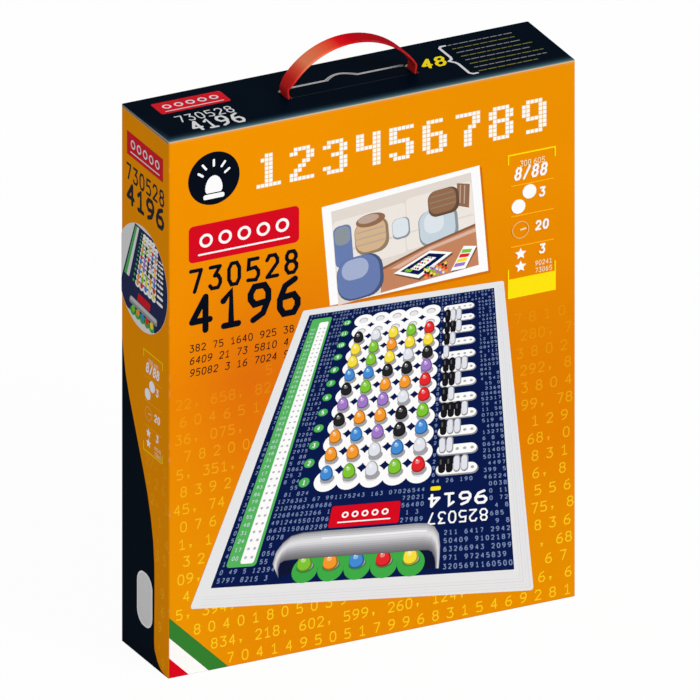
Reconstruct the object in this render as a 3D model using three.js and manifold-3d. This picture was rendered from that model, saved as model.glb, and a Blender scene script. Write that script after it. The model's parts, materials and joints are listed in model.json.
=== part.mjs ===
// Boxed code breaking peg game: a carton with a hinged lid and an arched strap handle,
// and inside it the pegboard with its hood, its pegs and its rules leaflet.
// Millimetres, +Z up, the front faces -Y, the origin is the centre of the carton's base.
import * as THREE from 'three';
import { mergeVertices } from 'three/addons/utils/BufferGeometryUtils.js';
import Module from 'manifold-3d';

const wasm = await Module();
wasm.setup();

// Carton
const cartonWidth = 266.5;
const cartonDepth = 62.5;
const cartonHeight = 345;
const cardWall = 1.5;
const cartonCornerRadius = 1;
const creaseRadius = 1;
const seamFlapWidth = 14;
const seamFlapEndGap = 40;
const bottomInnerFlapDepth = 45;
const bottomDustFlapLength = 55;
const flapCornerRadius = 6;

// Lid
const tuckFlapLength = 14;
const tuckFlapSideGap = 5.5;
const tuckWallGap = 1.7;
const earLength = 30;
const earFrontGap = 5;
const earSweepGap = 0.8;

// Finger tab and strap slots in the lid
const tabDepth = 13.2;
const tabFrontY = -6;
const tabCornerRadius = 3.5;
const tongueWidth = 20;
const tongueRise = 5.5;
const tongueCentreX = -0.5;
const slotLength = 14.5;
const slotWidth = 3.2;

// Strap handle
const strapSpan = 83;
const strapRise = 28.5;
const strapWidth = 13;
const strapThickness = 1.6;
const strapNeckWidth = 10;
const strapShoulder = 5.5;
const hookDrop = 5;
const hookReach = 4;

// Pegboard
const boardSideRoom = 6;
const boardHeadroom = 22.7;
const boardRearGap = 0.5;
const boardCornerRadius = 9;
const tierWidth = 5;
const tierHeights = [5, 9.5, 14];
const shellWall = 1.8;
const rimWidth = 6;
const recessDepth = 1.2;
const plateThickness = 2.2;
const ribThickness = 1.6;
const ribBottom = 4;
const crossRibRows = [3, 7, 11];
const cardThickness = 0.7;
const latticeThickness = 1.2;

// Hole pattern
const holePitch = 19;
const guessColumns = 5;
const fieldCentreX = -8;
const firstRowY = 34;
const codeRowInset = 58;
const latticeDiscRadius = 10.6;
const pegHoleRadius = 3.6;
const plateHoleRadius = 3.8;
const cardHoleRadius = 4.4;
const keyCentreX = 76;
const keyPitch = 8.6;
const keyHoles = 5;
const keyPadWidth = 48;
const keyPadHeight = 11;
const pinHoleRadius = 1.35;
const counterCentreX = -86;
const counterPadWidth = 20;
const counterPitchX = 8;
const counterPitchY = 12;
const counterPadMargin = 6;
const counterPinColumn = 0;
const counterPinRow = 2;

// Hood over the code row
const hoodLength = 150;
const hoodDepth = 34;
const hoodHeight = 28;
const hoodWall = 1.8;
const hoodFlange = 2;
const hoodFlangeThickness = 1.4;
const hoodRoundness = 0.82;
const hoodWindowHeight = 16;
const hoodPostWidth = 6;
const prongWidth = 7;
const prongThickness = 1.6;
const prongLength = 5;
const prongInset = 12;

// Pegs and pins; the outline of a peg's head in shares of its radius and height, from its foot to its tip
const pegHeadRadius = 6.6;
const pegHeadHeight = 11;
const pegHeadShares = [[0.84, 0], [1, 0.2], [0.98, 0.46], [0.72, 0.83], [0, 1]];
const pegStemRadius = 3;
const pegStemTipRadius = 2.3;
const pegStemLength = 9;
const pinHeadRadius = 2.1;
const pinTopRadius = 1.6;
const pinHeadHeight = 7;
const pinShoulderShare = 0.86;
const pinStemRadius = 0.9;
const pinStemLength = 6;

// Rules leaflet, folded, in the hollow under the board
const leafletWidth = 148;
const leafletLength = 210;
const leafletThickness = 1;
const leafletBack = 1;

// Clearances
const fitGap = 0.3;
const kerf = 0.5;
const cutOverrun = 3;

// Facets
const cornerFacets = 3;
const latticeGapFacets = 2;
const pegHoleFacets = 8;
const plateHoleFacets = 6;
const pinHoleFacets = 6;
const padEndFacets = 4;
const pegFacets = 8;
const pinFacets = 6;
const hoodFacets = 12;
const strapFacets = 22;

// Worked out places
const lidBottom = cartonHeight - cardWall;
const innerHalfWidth = cartonWidth / 2 - cardWall;
const innerHalfDepth = cartonDepth / 2 - cardWall;
const innerFlapTop = 2 * cardWall;
const dustFlapTop = 3 * cardWall;
const boardFloor = dustFlapTop + fitGap;
const boardRearY = innerHalfDepth - cardWall - boardRearGap;
const rimTop = tierHeights[tierHeights.length - 1];
const recessFloor = rimTop - recessDepth;
const plateBottom = recessFloor - plateThickness;
const cardBottom = recessFloor + fitGap;
const cardTop = cardBottom + cardThickness;
const latticeBottom = cardTop + fitGap;
const latticeTop = latticeBottom + latticeThickness;
const pegSeat = latticeTop + fitGap;
const pinSeat = rimTop + fitGap;
const boardWidth = 2 * (innerHalfWidth - boardSideRoom);
const boardLength = lidBottom - boardFloor - boardHeadroom;
const recessInset = (tierHeights.length - 1) * tierWidth + rimWidth;
const recessWidth = boardWidth - 2 * recessInset;
const recessLength = boardLength - 2 * recessInset;
const boardMiddleY = boardLength / 2;
const codeRowY = boardLength - codeRowInset;
const lastRowY = codeRowY - hoodDepth / 2 - hoodFlange - holePitch / 2;
const guessRowCount = Math.floor((lastRowY - firstRowY) / holePitch) + 1;
const fieldSpan = (guessRowCount - 1) * holePitch;
const counterRowCount = Math.floor(fieldSpan / counterPitchY) + 1;
const counterPadHeight = (counterRowCount - 1) * counterPitchY + 2 * counterPadMargin;
const counterCentreY = firstRowY + fieldSpan / 2;
const strapPivotZ = cartonHeight - cardWall / 2;
const longRibInset = holePitch / 4;

// Materials
function paint(color, roughness) {
  return new THREE.MeshStandardMaterial({ color, roughness, metalness: 0 });
}

const orangeCard = paint('#e88a08', 0.5);
const navyCard = paint('#04142a', 0.5);
const greyCard = paint('#b9b4a8', 0.9);
const redPlastic = paint('#c01420', 0.35);
const whitePlastic = paint('#e9e9e6', 0.4);
const navyBoardCard = paint('#101c4c', 0.6);
const greenPlastic = paint('#4caa28', 0.4);
const silverPlastic = paint('#8f8e92', 0.35);
const leafletPaper = paint('#f2f0e8', 0.85);
const pegPaints = {
  orange: paint('#f07a10', 0.3),
  red: paint('#c8141c', 0.3),
  yellow: paint('#f4d210', 0.3),
  black: paint('#15151a', 0.3),
  purple: paint('#6a2a96', 0.3),
  green: paint('#1f9a3c', 0.3),
  blue: paint('#2050b8', 0.3),
  white: paint('#efefec', 0.3),
};

// Peg colours in the rows that are set, and the pins that answer them
const codeColours = ['orange', 'red', 'yellow', 'black', 'purple'];
const guessColours = [
  ['black', 'blue', 'red', 'green', 'white'],
  ['purple', 'white', 'black', 'yellow', 'orange'],
  ['yellow', 'purple', 'orange', 'blue', 'black'],
];
const pinColours = [
  ['black', 'white'],
  ['black', 'white'],
  ['black', 'white'],
];

// Outlines
function arcPoints(centreX, centreY, radius, from, to, facets) {
  const points = [];
  for (let i = 0; i <= facets; i += 1) {
    const angle = from + ((to - from) * i) / facets;
    points.push(new THREE.Vector2(
      centreX + radius * Math.cos(angle), centreY + radius * Math.sin(angle)));
  }
  return points;
}

function roundedRect(width, height, radius, centreX = 0, centreY = 0, facets = cornerFacets) {
  const x = width / 2 - radius;
  const y = height / 2 - radius;
  const turn = Math.PI / 2;
  const corners = [[x, -y, -turn], [x, y, 0], [-x, y, turn], [-x, -y, 2 * turn]];
  return corners.flatMap(([cornerX, cornerY, start]) => arcPoints(
    centreX + cornerX, centreY + cornerY, radius, start, start + turn, facets));
}

function rectangle(left, bottom, right, top) {
  return [[left, bottom], [right, bottom], [right, top], [left, top]]
    .map(([x, y]) => new THREE.Vector2(x, y));
}

function ring(centreX, centreY, radius, facets) {
  return arcPoints(centreX, centreY, radius, 0, 2 * Math.PI, facets).slice(0, facets);
}

function stadium(centreX, centreY, width, height) {
  const radius = height / 2;
  const x = width / 2 - radius;
  const turn = Math.PI / 2;
  return [
    ...arcPoints(centreX + x, centreY, radius, -turn, turn, padEndFacets),
    ...arcPoints(centreX - x, centreY, radius, turn, 3 * turn, padEndFacets),
  ];
}

// Solids: an outline, or several apart from each other, raised from one height to another
function prism(outlines, bottom, top, holes = []) {
  const many = Array.isArray(outlines[0]) ? outlines : [outlines];
  const shapes = many.map((points) => new THREE.Shape(points));
  holes.forEach((points) => shapes[0].holes.push(new THREE.Path(points)));
  const depth = top - bottom;
  const geometry = new THREE.ExtrudeGeometry(shapes, { depth, bevelEnabled: false });
  return geometry.translate(0, 0, bottom);
}

function solidOf(geometry) {
  const bare = geometry.clone();
  bare.deleteAttribute('normal');
  bare.deleteAttribute('uv');
  const merged = mergeVertices(bare);
  const corners = merged.index.array;
  const kept = [];
  for (let i = 0; i < corners.length; i += 3) {
    const [a, b, c] = [corners[i], corners[i + 1], corners[i + 2]];
    if (a !== b && b !== c && c !== a) kept.push(a, b, c);
  }
  return new wasm.Manifold(new wasm.Mesh({
    numProp: 3,
    vertProperties: new Float32Array(merged.attributes.position.array),
    triVerts: new Uint32Array(kept),
  }));
}

function geometryOf(solid) {
  const mesh = solid.getMesh();
  const geometry = new THREE.BufferGeometry();
  geometry.setAttribute('position', new THREE.BufferAttribute(mesh.vertProperties, mesh.numProp));
  geometry.setIndex(new THREE.BufferAttribute(mesh.triVerts, 1));
  geometry.computeVertexNormals();
  return geometry;
}

function joined(geometries) {
  return geometries.map(solidOf).reduce((whole, piece) => whole.add(piece));
}

function drilled(solid, outlines, bottom, top) {
  return solid.subtract(solidOf(prism(outlines, bottom - cutOverrun, top + cutOverrun)));
}

function revolved(profile, facets) {
  const points = profile.map(([radius, height]) => new THREE.Vector2(radius, height));
  return geometryOf(solidOf(new THREE.LatheGeometry(points, facets).rotateX(Math.PI / 2)));
}

// Places a profile drawn in Y and Z, and raised along its own Z, with its length along X
function alongX(geometry) {
  const turn = new THREE.Matrix4().set(0, 0, 1, 0, 1, 0, 0, 0, 0, 1, 0, 0, 0, 0, 0, 1);
  return geometry.applyMatrix4(turn);
}

// Places a profile drawn in X and Z, and raised along its own Z, across Y and centred
function acrossY(geometry, width) {
  return geometry.rotateX(Math.PI / 2).translate(0, width / 2, 0);
}

// Carton
function cartonSleeve() {
  const outer = roundedRect(cartonWidth, cartonDepth, cartonCornerRadius);
  const inner = rectangle(-innerHalfWidth, -innerHalfDepth, innerHalfWidth, innerHalfDepth);
  const walls = prism(outer, cardWall, lidBottom, [inner]);
  const seam = rectangle(-innerHalfWidth - cardWall / 2, innerHalfDepth - cardWall,
    -innerHalfWidth + seamFlapWidth, innerHalfDepth + cardWall / 2);
  const seamFlap = prism(seam, dustFlapTop + fitGap, cartonHeight - seamFlapEndGap);
  return geometryOf(joined([walls, seamFlap]));
}

// A panel with the carton's outline whose front edge is a rounded fold on its outer side
function creasedPanel(bottom, top, foldOnTop) {
  const front = -cartonDepth / 2;
  const foldZ = foldOnTop ? top - creaseRadius : bottom + creaseRadius;
  const turn = Math.PI / 2;
  const fold = foldOnTop
    ? arcPoints(front + creaseRadius, foldZ, creaseRadius, turn, 2 * turn, cornerFacets)
    : arcPoints(front + creaseRadius, foldZ, creaseRadius, 2 * turn, 3 * turn, cornerFacets);
  const rear = [new THREE.Vector2(cartonDepth / 2, bottom), new THREE.Vector2(cartonDepth / 2, top)];
  const flat = new THREE.Vector2(front, foldOnTop ? bottom : top);
  const profile = foldOnTop ? [...rear, ...fold, flat] : [...rear, flat, ...fold];
  const bar = alongX(prism(profile, -cartonWidth / 2, cartonWidth / 2));
  const plan = prism(roundedRect(cartonWidth, cartonDepth, cartonCornerRadius), bottom, top);
  return solidOf(bar).intersect(solidOf(plan));
}

function bottomOuterFlap() {
  return geometryOf(creasedPanel(0, cardWall, false));
}

function bottomInnerFlap() {
  const x = innerHalfWidth - fitGap;
  const rear = innerHalfDepth - fitGap;
  const width = 2 * x;
  const middle = rear - bottomInnerFlapDepth / 2;
  const outline = roundedRect(width, bottomInnerFlapDepth, flapCornerRadius, 0, middle);
  return prism(outline, cardWall, innerFlapTop);
}

function bottomDustFlap(side) {
  const outerX = innerHalfWidth - fitGap;
  const middle = side * (outerX - bottomDustFlapLength / 2);
  const depth = 2 * (innerHalfDepth - fitGap);
  const outline = roundedRect(bottomDustFlapLength, depth, flapCornerRadius, middle, 0);
  return prism(outline, innerFlapTop, dustFlapTop);
}

// Finger tab: a flap with a thumb tongue on its free edge, grown by an edge gap for its cut-out
function tabOutline(gap) {
  const halfWidth = strapSpan / 2 - slotWidth / 2 - fitGap + gap;
  const front = tabFrontY - (gap > 0 ? fitGap : 0);
  const rear = tabFrontY + tabDepth + gap;
  const tongueHalf = tongueWidth / 2 + gap;
  const tongue = [];
  const steps = 2 * padEndFacets;
  for (let i = 0; i <= steps; i += 1) {
    const share = 1 - (2 * i) / steps;
    const swell = Math.cos((share * Math.PI) / 2);
    tongue.push(new THREE.Vector2(tongueCentreX + share * tongueHalf, rear + tongueRise * swell));
  }
  const turn = Math.PI / 2;
  const corner = halfWidth - tabCornerRadius;
  return [
    new THREE.Vector2(-halfWidth, front),
    new THREE.Vector2(halfWidth, front),
    ...arcPoints(corner, rear - tabCornerRadius, tabCornerRadius, 0, turn, cornerFacets),
    ...tongue,
    ...arcPoints(-corner, rear - tabCornerRadius, tabCornerRadius, turn, 2 * turn, cornerFacets),
  ];
}

function lidPanel() {
  const panel = creasedPanel(lidBottom, cartonHeight, true);
  const cutOut = solidOf(prism(tabOutline(kerf), lidBottom - cutOverrun, cartonHeight + cutOverrun));
  const slots = [-1, 1].map((side) => roundedRect(
    slotWidth + fitGap, slotLength, slotWidth / 2, side * (strapSpan / 2), 0));
  return geometryOf(drilled(panel.subtract(cutOut), slots, lidBottom, cartonHeight));
}

function fingerTab() {
  return prism(tabOutline(0), lidBottom, cartonHeight);
}

function tuckFlap() {
  const halfWidth = innerHalfWidth - tuckFlapSideGap;
  const top = lidBottom - fitGap;
  const bottom = top - tuckFlapLength;
  const turn = Math.PI / 2;
  const lowCorner = bottom + flapCornerRadius;
  const outline = [
    new THREE.Vector2(halfWidth, top),
    new THREE.Vector2(-halfWidth, top),
    ...arcPoints(-halfWidth + flapCornerRadius, lowCorner, flapCornerRadius,
      2 * turn, 3 * turn, cornerFacets),
    ...arcPoints(halfWidth - flapCornerRadius, lowCorner, flapCornerRadius,
      3 * turn, 4 * turn, cornerFacets),
  ];
  const rear = innerHalfDepth - tuckWallGap;
  return acrossY(prism(outline, 0, cardWall), cardWall).translate(0, rear - cardWall / 2, 0);
}

// Lid ear: its free corner follows a circle about the lid's fold, so it clears the rear wall
function lidEar(side) {
  const front = -cartonDepth / 2;
  const top = lidBottom;
  const bottom = lidBottom - earLength;
  const sweep = cartonDepth - cardWall - earSweepGap;
  const rear = innerHalfDepth - tuckWallGap - cardWall - fitGap;
  const startAngle = -Math.asin(earLength / sweep);
  const rearDrop = Math.sqrt(sweep ** 2 - (rear - front) ** 2);
  const endAngle = -Math.asin(rearDrop / sweep);
  const outline = [
    new THREE.Vector2(rear, top),
    new THREE.Vector2(front + earFrontGap, top),
    new THREE.Vector2(front + earFrontGap, bottom),
    ...arcPoints(front, lidBottom, sweep, startAngle, endAngle, 2 * cornerFacets),
  ];
  const nearX = innerHalfWidth - fitGap - cardWall;
  const low = side > 0 ? nearX : -nearX - cardWall;
  return alongX(prism(outline.reverse(), low, low + cardWall));
}

// Strap: a moulded band bent into an arc, with narrower necks that pass the slots and end in hooks
function handleStrap() {
  const half = strapSpan / 2;
  const thick = strapThickness / 2;
  const shoulderZ = cartonHeight + strapShoulder;
  const arcRise = strapRise - strapShoulder;
  const radius = (half ** 2 + arcRise ** 2) / (2 * arcRise);
  const centreZ = cartonHeight + strapRise - radius;
  const hookTop = strapPivotZ - hookDrop;
  const hookBottom = hookTop - strapThickness;
  const outerRadius = radius + thick;
  const innerRadius = radius - thick;
  const outerSpread = Math.asin((half + thick) / outerRadius);
  const innerSpread = Math.asin((half - thick) / innerRadius);
  const up = Math.PI / 2;
  const outline = [
    new THREE.Vector2(half - thick, hookBottom),
    new THREE.Vector2(half + hookReach, hookBottom),
    new THREE.Vector2(half + hookReach, hookTop),
    new THREE.Vector2(half + thick, hookTop),
    ...arcPoints(0, centreZ, outerRadius, up - outerSpread, up + outerSpread, strapFacets),
    new THREE.Vector2(-half - thick, hookTop),
    new THREE.Vector2(-half - hookReach, hookTop),
    new THREE.Vector2(-half - hookReach, hookBottom),
    new THREE.Vector2(-half + thick, hookBottom),
    ...arcPoints(0, centreZ, innerRadius, up + innerSpread, up - innerSpread, strapFacets),
  ];
  const band = acrossY(prism(outline, 0, strapWidth), strapWidth);
  const reach = half + hookReach + cutOverrun;
  const low = hookBottom - cutOverrun;
  let strap = solidOf(band);
  for (const side of [-1, 1]) {
    const near = (side * strapNeckWidth) / 2;
    const far = side * (strapWidth / 2 + cutOverrun);
    const trim = rectangle(-reach, Math.min(near, far), reach, Math.max(near, far));
    strap = strap.subtract(solidOf(prism(trim, low, shoulderZ)));
  }
  return geometryOf(strap);
}

// Board, drawn lying down: X across, Y along, Z out of its face
function columnX(column) {
  return fieldCentreX + (column - (guessColumns - 1) / 2) * holePitch;
}

function rowY(row) {
  return firstRowY + row * holePitch;
}

function gridOf(columns, rows, outlineAt) {
  const outlines = [];
  for (let row = 0; row < rows; row += 1) {
    for (let column = 0; column < columns; column += 1) outlines.push(outlineAt(column, row));
  }
  return outlines;
}

function keyHoleX(column) {
  return keyCentreX + (column - (keyHoles - 1) / 2) * keyPitch;
}

function counterHolePlace(column, row) {
  return [
    counterCentreX + (column - 1 / 2) * counterPitchX,
    counterCentreY + (row - (counterRowCount - 1) / 2) * counterPitchY,
  ];
}

function keyPads(gap) {
  return gridOf(1, guessRowCount, (column, row) => stadium(
    keyCentreX, rowY(row), keyPadWidth + 2 * gap, keyPadHeight + 2 * gap));
}

function counterPad(gap) {
  return roundedRect(counterPadWidth + 2 * gap, counterPadHeight + 2 * gap,
    counterPadMargin, counterCentreX, counterCentreY);
}

function prongPlaces() {
  const x = hoodLength / 2 - prongInset;
  const y = hoodDepth / 2 - prongThickness / 2;
  return [[-x, -y], [x, -y], [x, y], [-x, y]]
    .map(([offsetX, offsetY]) => [fieldCentreX + offsetX, codeRowY + offsetY]);
}

function prongSlots(gap) {
  return prongPlaces().map(([x, y]) => rectangle(
    x - prongWidth / 2 - gap, y - prongThickness / 2 - gap,
    x + prongWidth / 2 + gap, y + prongThickness / 2 + gap));
}

function steppedBlock(shrink, heights) {
  return joined(heights.map((height, tier) => {
    const inset = 2 * (tier * tierWidth + shrink);
    const radius = Math.max(boardCornerRadius - tier * tierWidth / 2 - shrink, shellWall);
    const outline = roundedRect(
      boardWidth - inset, boardLength - inset, radius, 0, boardMiddleY);
    return prism(outline, shrink > 0 ? -cutOverrun : 0, height);
  }));
}

function boardRibs() {
  const halfWidth = boardWidth / 2 - recessInset;
  const low = recessInset;
  const high = boardLength - recessInset;
  const half = ribThickness / 2;
  const acrossRows = crossRibRows.map((row) => rowY(row) - holePitch / 2);
  const alongColumns = [columnX(-1) + longRibInset, columnX(guessColumns) - longRibInset];
  const across = acrossRows.map((y) => rectangle(-halfWidth, y - half, halfWidth, y + half));
  const along = alongColumns.map((x) => rectangle(x - half, low, x + half, high));
  return [...across, ...along].map((outline) => prism(outline, ribBottom, recessFloor));
}

function boardBase() {
  const hollowHeights = tierHeights.map((height) => Math.min(height - shellWall, plateBottom));
  let base = steppedBlock(0, tierHeights).subtract(steppedBlock(shellWall, hollowHeights));
  base = boardRibs().map(solidOf).reduce((whole, rib) => whole.add(rib), base);
  const recess = roundedRect(recessWidth, recessLength, shellWall, 0, boardMiddleY);
  base = base.subtract(solidOf(prism(recess, recessFloor, rimTop + cutOverrun)));
  base = base.add(solidOf(prism([...keyPads(0), counterPad(0)], plateBottom, rimTop)));
  const pegHoles = gridOf(guessColumns, guessRowCount, (column, row) => ring(
    columnX(column), rowY(row), plateHoleRadius, plateHoleFacets));
  const codeHoles = gridOf(guessColumns, 1, (column) => ring(
    columnX(column), codeRowY, plateHoleRadius, plateHoleFacets));
  const keyPinHoles = gridOf(keyHoles, guessRowCount, (column, row) => ring(
    keyHoleX(column), rowY(row), pinHoleRadius, pinHoleFacets));
  const counterHoles = gridOf(2, counterRowCount, (column, row) => ring(
    ...counterHolePlace(column, row), pinHoleRadius, pinHoleFacets));
  const drills = [...pegHoles, ...codeHoles, ...keyPinHoles, ...counterHoles, ...prongSlots(fitGap)];
  return geometryOf(drilled(base, drills, ribBottom, rimTop));
}

function boardCard() {
  const outline = roundedRect(recessWidth - 2 * fitGap, recessLength - 2 * fitGap,
    shellWall, 0, boardMiddleY);
  const pegHoles = gridOf(guessColumns, guessRowCount, (column, row) => ring(
    columnX(column), rowY(row), cardHoleRadius, pinHoleFacets));
  const codeHoles = gridOf(guessColumns, 1, (column) => ring(
    columnX(column), codeRowY, cardHoleRadius, pinHoleFacets));
  const windows = [...keyPads(fitGap), counterPad(fitGap)];
  const openings = [...pegHoles, ...codeHoles, ...windows, ...prongSlots(fitGap)];
  return geometryOf(drilled(solidOf(prism(outline, cardBottom, cardTop)), openings,
    cardBottom, cardTop));
}

// The four-pointed gap between four neighbouring discs of the lattice
function latticeGap(centreX, centreY) {
  const half = holePitch / 2;
  const reach = Math.hypot(half, half);
  const lap = Math.acos(half / latticeDiscRadius);
  return [0, 1, 2, 3].flatMap((corner) => {
    const turn = (corner * Math.PI) / 2;
    const discX = centreX + reach * Math.cos(turn - Math.PI / 4);
    const discY = centreY + reach * Math.sin(turn - Math.PI / 4);
    return arcPoints(discX, discY, latticeDiscRadius,
      turn + Math.PI - lap, turn + Math.PI / 2 + lap, latticeGapFacets).slice(1);
  });
}

// White lattice: discs that run into one another round every hole, scalloped along its edges
function discLattice(columns, rows, bottomRowY) {
  const width = columns * holePitch;
  const height = rows * holePitch;
  const middleY = bottomRowY + ((rows - 1) * holePitch) / 2;
  const outline = rectangle(fieldCentreX - width / 2, middleY - height / 2,
    fieldCentreX + width / 2, middleY + height / 2);
  const drills = gridOf(columns, rows, (column, row) => ring(
    columnX(column), bottomRowY + row * holePitch, pegHoleRadius, pegHoleFacets));
  const gaps = gridOf(columns + 1, rows + 1, (column, row) => latticeGap(
    columnX(column) - holePitch / 2, bottomRowY + (row - 1 / 2) * holePitch));
  const plate = solidOf(prism(outline, latticeBottom, latticeTop));
  return geometryOf(drilled(plate, [...drills, ...gaps], latticeBottom, latticeTop));
}

function guessLattice() {
  return discLattice(guessColumns, guessRowCount, firstRowY);
}

function codeLattice() {
  return discLattice(guessColumns, 1, codeRowY);
}

// Hood: a flattened half round drawn across the board, raised along X, with a window on the side
// of the player who sets the code
function hoodProfile(halfDepth, height, base) {
  const points = [];
  for (let i = 0; i <= hoodFacets; i += 1) {
    const angle = (Math.PI * i) / hoodFacets;
    const across = Math.sign(Math.cos(angle)) * Math.abs(Math.cos(angle)) ** hoodRoundness;
    const out = Math.sin(angle) ** hoodRoundness;
    points.push(new THREE.Vector2(codeRowY + halfDepth * across, base + height * out));
  }
  return points;
}

function hood() {
  const bottom = cardTop + fitGap;
  const halfLength = hoodLength / 2;
  const halfDepth = hoodDepth / 2;
  const left = fieldCentreX - halfLength;
  const right = fieldCentreX + halfLength;
  const shellOuter = alongX(prism(hoodProfile(halfDepth, hoodHeight, bottom), left, right));
  const cavity = hoodProfile(halfDepth - hoodWall, hoodHeight - hoodWall, bottom);
  cavity[0].y = bottom - cutOverrun;
  cavity[cavity.length - 1].y = bottom - cutOverrun;
  const hollow = alongX(prism(cavity, left + hoodWall, right - hoodWall));
  const flange = prism(
    roundedRect(hoodLength + 2 * hoodFlange, hoodDepth + 2 * hoodFlange, hoodFlange,
      fieldCentreX, codeRowY),
    bottom, bottom + hoodFlangeThickness);
  const prongs = prism(prongSlots(0), bottom - prongLength, bottom + hoodFlangeThickness);
  const window = prism(
    rectangle(left + hoodPostWidth, codeRowY + halfDepth / 2,
      right - hoodPostWidth, codeRowY + halfDepth + cutOverrun),
    bottom + hoodFlangeThickness, bottom + hoodWindowHeight);
  const shell = joined([shellOuter, flange]).subtract(solidOf(hollow)).subtract(solidOf(window));
  return geometryOf(shell.add(solidOf(prongs)));
}

// Pegs and pins stand on Z = 0 with the stem below
function pegGeometry() {
  const head = pegHeadShares.map(([share, rise]) => [pegHeadRadius * share, pegHeadHeight * rise]);
  return revolved([
    [0, -pegStemLength],
    [pegStemTipRadius, -pegStemLength],
    [pegStemRadius, 0],
    ...head,
  ], pegFacets);
}

function pinGeometry() {
  return revolved([
    [0, -pinStemLength],
    [pinStemRadius, -pinStemLength],
    [pinStemRadius, 0],
    [pinHeadRadius, 0],
    [pinTopRadius, pinHeadHeight * pinShoulderShare],
    [0, pinHeadHeight],
  ], pinFacets);
}

function rulesLeaflet() {
  const low = shellWall + fitGap;
  const outline = rectangle(-leafletWidth / 2, low, leafletWidth / 2, low + leafletLength);
  return prism(outline, leafletBack, leafletBack + leafletThickness);
}

// Assembly
const game = new THREE.Group();
const board = new THREE.Group();
board.rotation.x = Math.PI / 2;
board.position.set(0, boardRearY, boardFloor);
game.add(board);

function place(parent, name, geometry, material, x = 0, y = 0, z = 0) {
  const mesh = new THREE.Mesh(geometry, material);
  mesh.name = name;
  mesh.position.set(x, y, z);
  parent.add(mesh);
}

place(game, 'carton_sleeve', cartonSleeve(), orangeCard);
place(game, 'bottom_outer_flap', bottomOuterFlap(), navyCard);
place(game, 'bottom_inner_flap', bottomInnerFlap(), greyCard);
place(game, 'bottom_dust_flap_left', bottomDustFlap(-1), greyCard);
place(game, 'bottom_dust_flap_right', bottomDustFlap(1), greyCard);
place(game, 'lid_panel', lidPanel(), navyCard);
place(game, 'lid_finger_tab', fingerTab(), navyCard);
place(game, 'lid_tuck_flap', tuckFlap(), navyCard);
place(game, 'lid_ear_left', lidEar(-1), greyCard);
place(game, 'lid_ear_right', lidEar(1), greyCard);
place(game, 'handle_strap', handleStrap(), redPlastic);

place(board, 'board_base', boardBase(), whitePlastic);
place(board, 'board_card', boardCard(), navyBoardCard);
place(board, 'guess_lattice', guessLattice(), whitePlastic);
place(board, 'code_lattice', codeLattice(), greenPlastic);
place(board, 'hood', hood(), silverPlastic);
place(board, 'rules_leaflet', rulesLeaflet(), leafletPaper);

codeColours.forEach((colour, column) => {
  place(board, `code_peg_${column + 1}`, pegGeometry(), pegPaints[colour],
    columnX(column), codeRowY, pegSeat);
});
guessColours.forEach((colours, row) => {
  colours.forEach((colour, column) => {
    place(board, `guess_peg_${row + 1}_${column + 1}`, pegGeometry(), pegPaints[colour],
      columnX(column), rowY(row), pegSeat);
  });
});
pinColours.forEach((colours, row) => {
  colours.forEach((colour, column) => {
    place(board, `key_pin_${row + 1}_${column + 1}`, pinGeometry(), pegPaints[colour],
      keyHoleX(column), rowY(row), pinSeat);
  });
});
const [counterPinX, counterPinY] = counterHolePlace(counterPinColumn, counterPinRow);
place(board, 'counter_pin', pinGeometry(), pegPaints.black, counterPinX, counterPinY, pinSeat);

export default game;
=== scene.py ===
"""Boxed code breaking peg game, dressed for its picture: printed carton, lid, strap, pegboard, pegs and pins.

Lengths of the scene are metres, +Z is up and the carton's front faces -Y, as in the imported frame.
Prints are drawn in millimetres on a face and laid on it as thin ink."""
import json
import math

import bpy
import numpy as np
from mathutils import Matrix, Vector


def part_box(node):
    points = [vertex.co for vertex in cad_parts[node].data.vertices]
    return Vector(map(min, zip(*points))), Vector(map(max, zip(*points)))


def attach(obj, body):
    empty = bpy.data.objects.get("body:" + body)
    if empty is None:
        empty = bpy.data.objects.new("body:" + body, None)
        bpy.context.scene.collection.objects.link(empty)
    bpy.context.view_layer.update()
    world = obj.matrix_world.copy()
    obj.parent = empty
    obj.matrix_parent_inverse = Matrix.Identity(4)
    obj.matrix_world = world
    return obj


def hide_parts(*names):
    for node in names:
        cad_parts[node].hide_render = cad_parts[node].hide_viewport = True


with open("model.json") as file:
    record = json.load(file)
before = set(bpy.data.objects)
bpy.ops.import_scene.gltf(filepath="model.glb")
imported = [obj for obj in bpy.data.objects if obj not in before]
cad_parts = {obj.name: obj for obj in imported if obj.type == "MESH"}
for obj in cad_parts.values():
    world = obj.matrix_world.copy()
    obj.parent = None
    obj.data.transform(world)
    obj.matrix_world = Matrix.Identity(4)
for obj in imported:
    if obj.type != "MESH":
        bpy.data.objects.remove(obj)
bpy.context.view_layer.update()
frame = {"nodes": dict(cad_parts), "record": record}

MM = 0.001
sleeve_low, sleeve_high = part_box("carton_sleeve")
lid_low, lid_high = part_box("lid_panel")
card_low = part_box("board_card")[0]
WIDE = (sleeve_high.x - sleeve_low.x) / MM
DEEP = (sleeve_high.y - sleeve_low.y) / MM
TALL = lid_high.z / MM
LEFT, RIGHT = sleeve_low.x, sleeve_high.x
FRONT, REAR = sleeve_low.y, sleeve_high.y
TOP = lid_high.z
WALL = TOP - lid_low.z


# Camera

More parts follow.
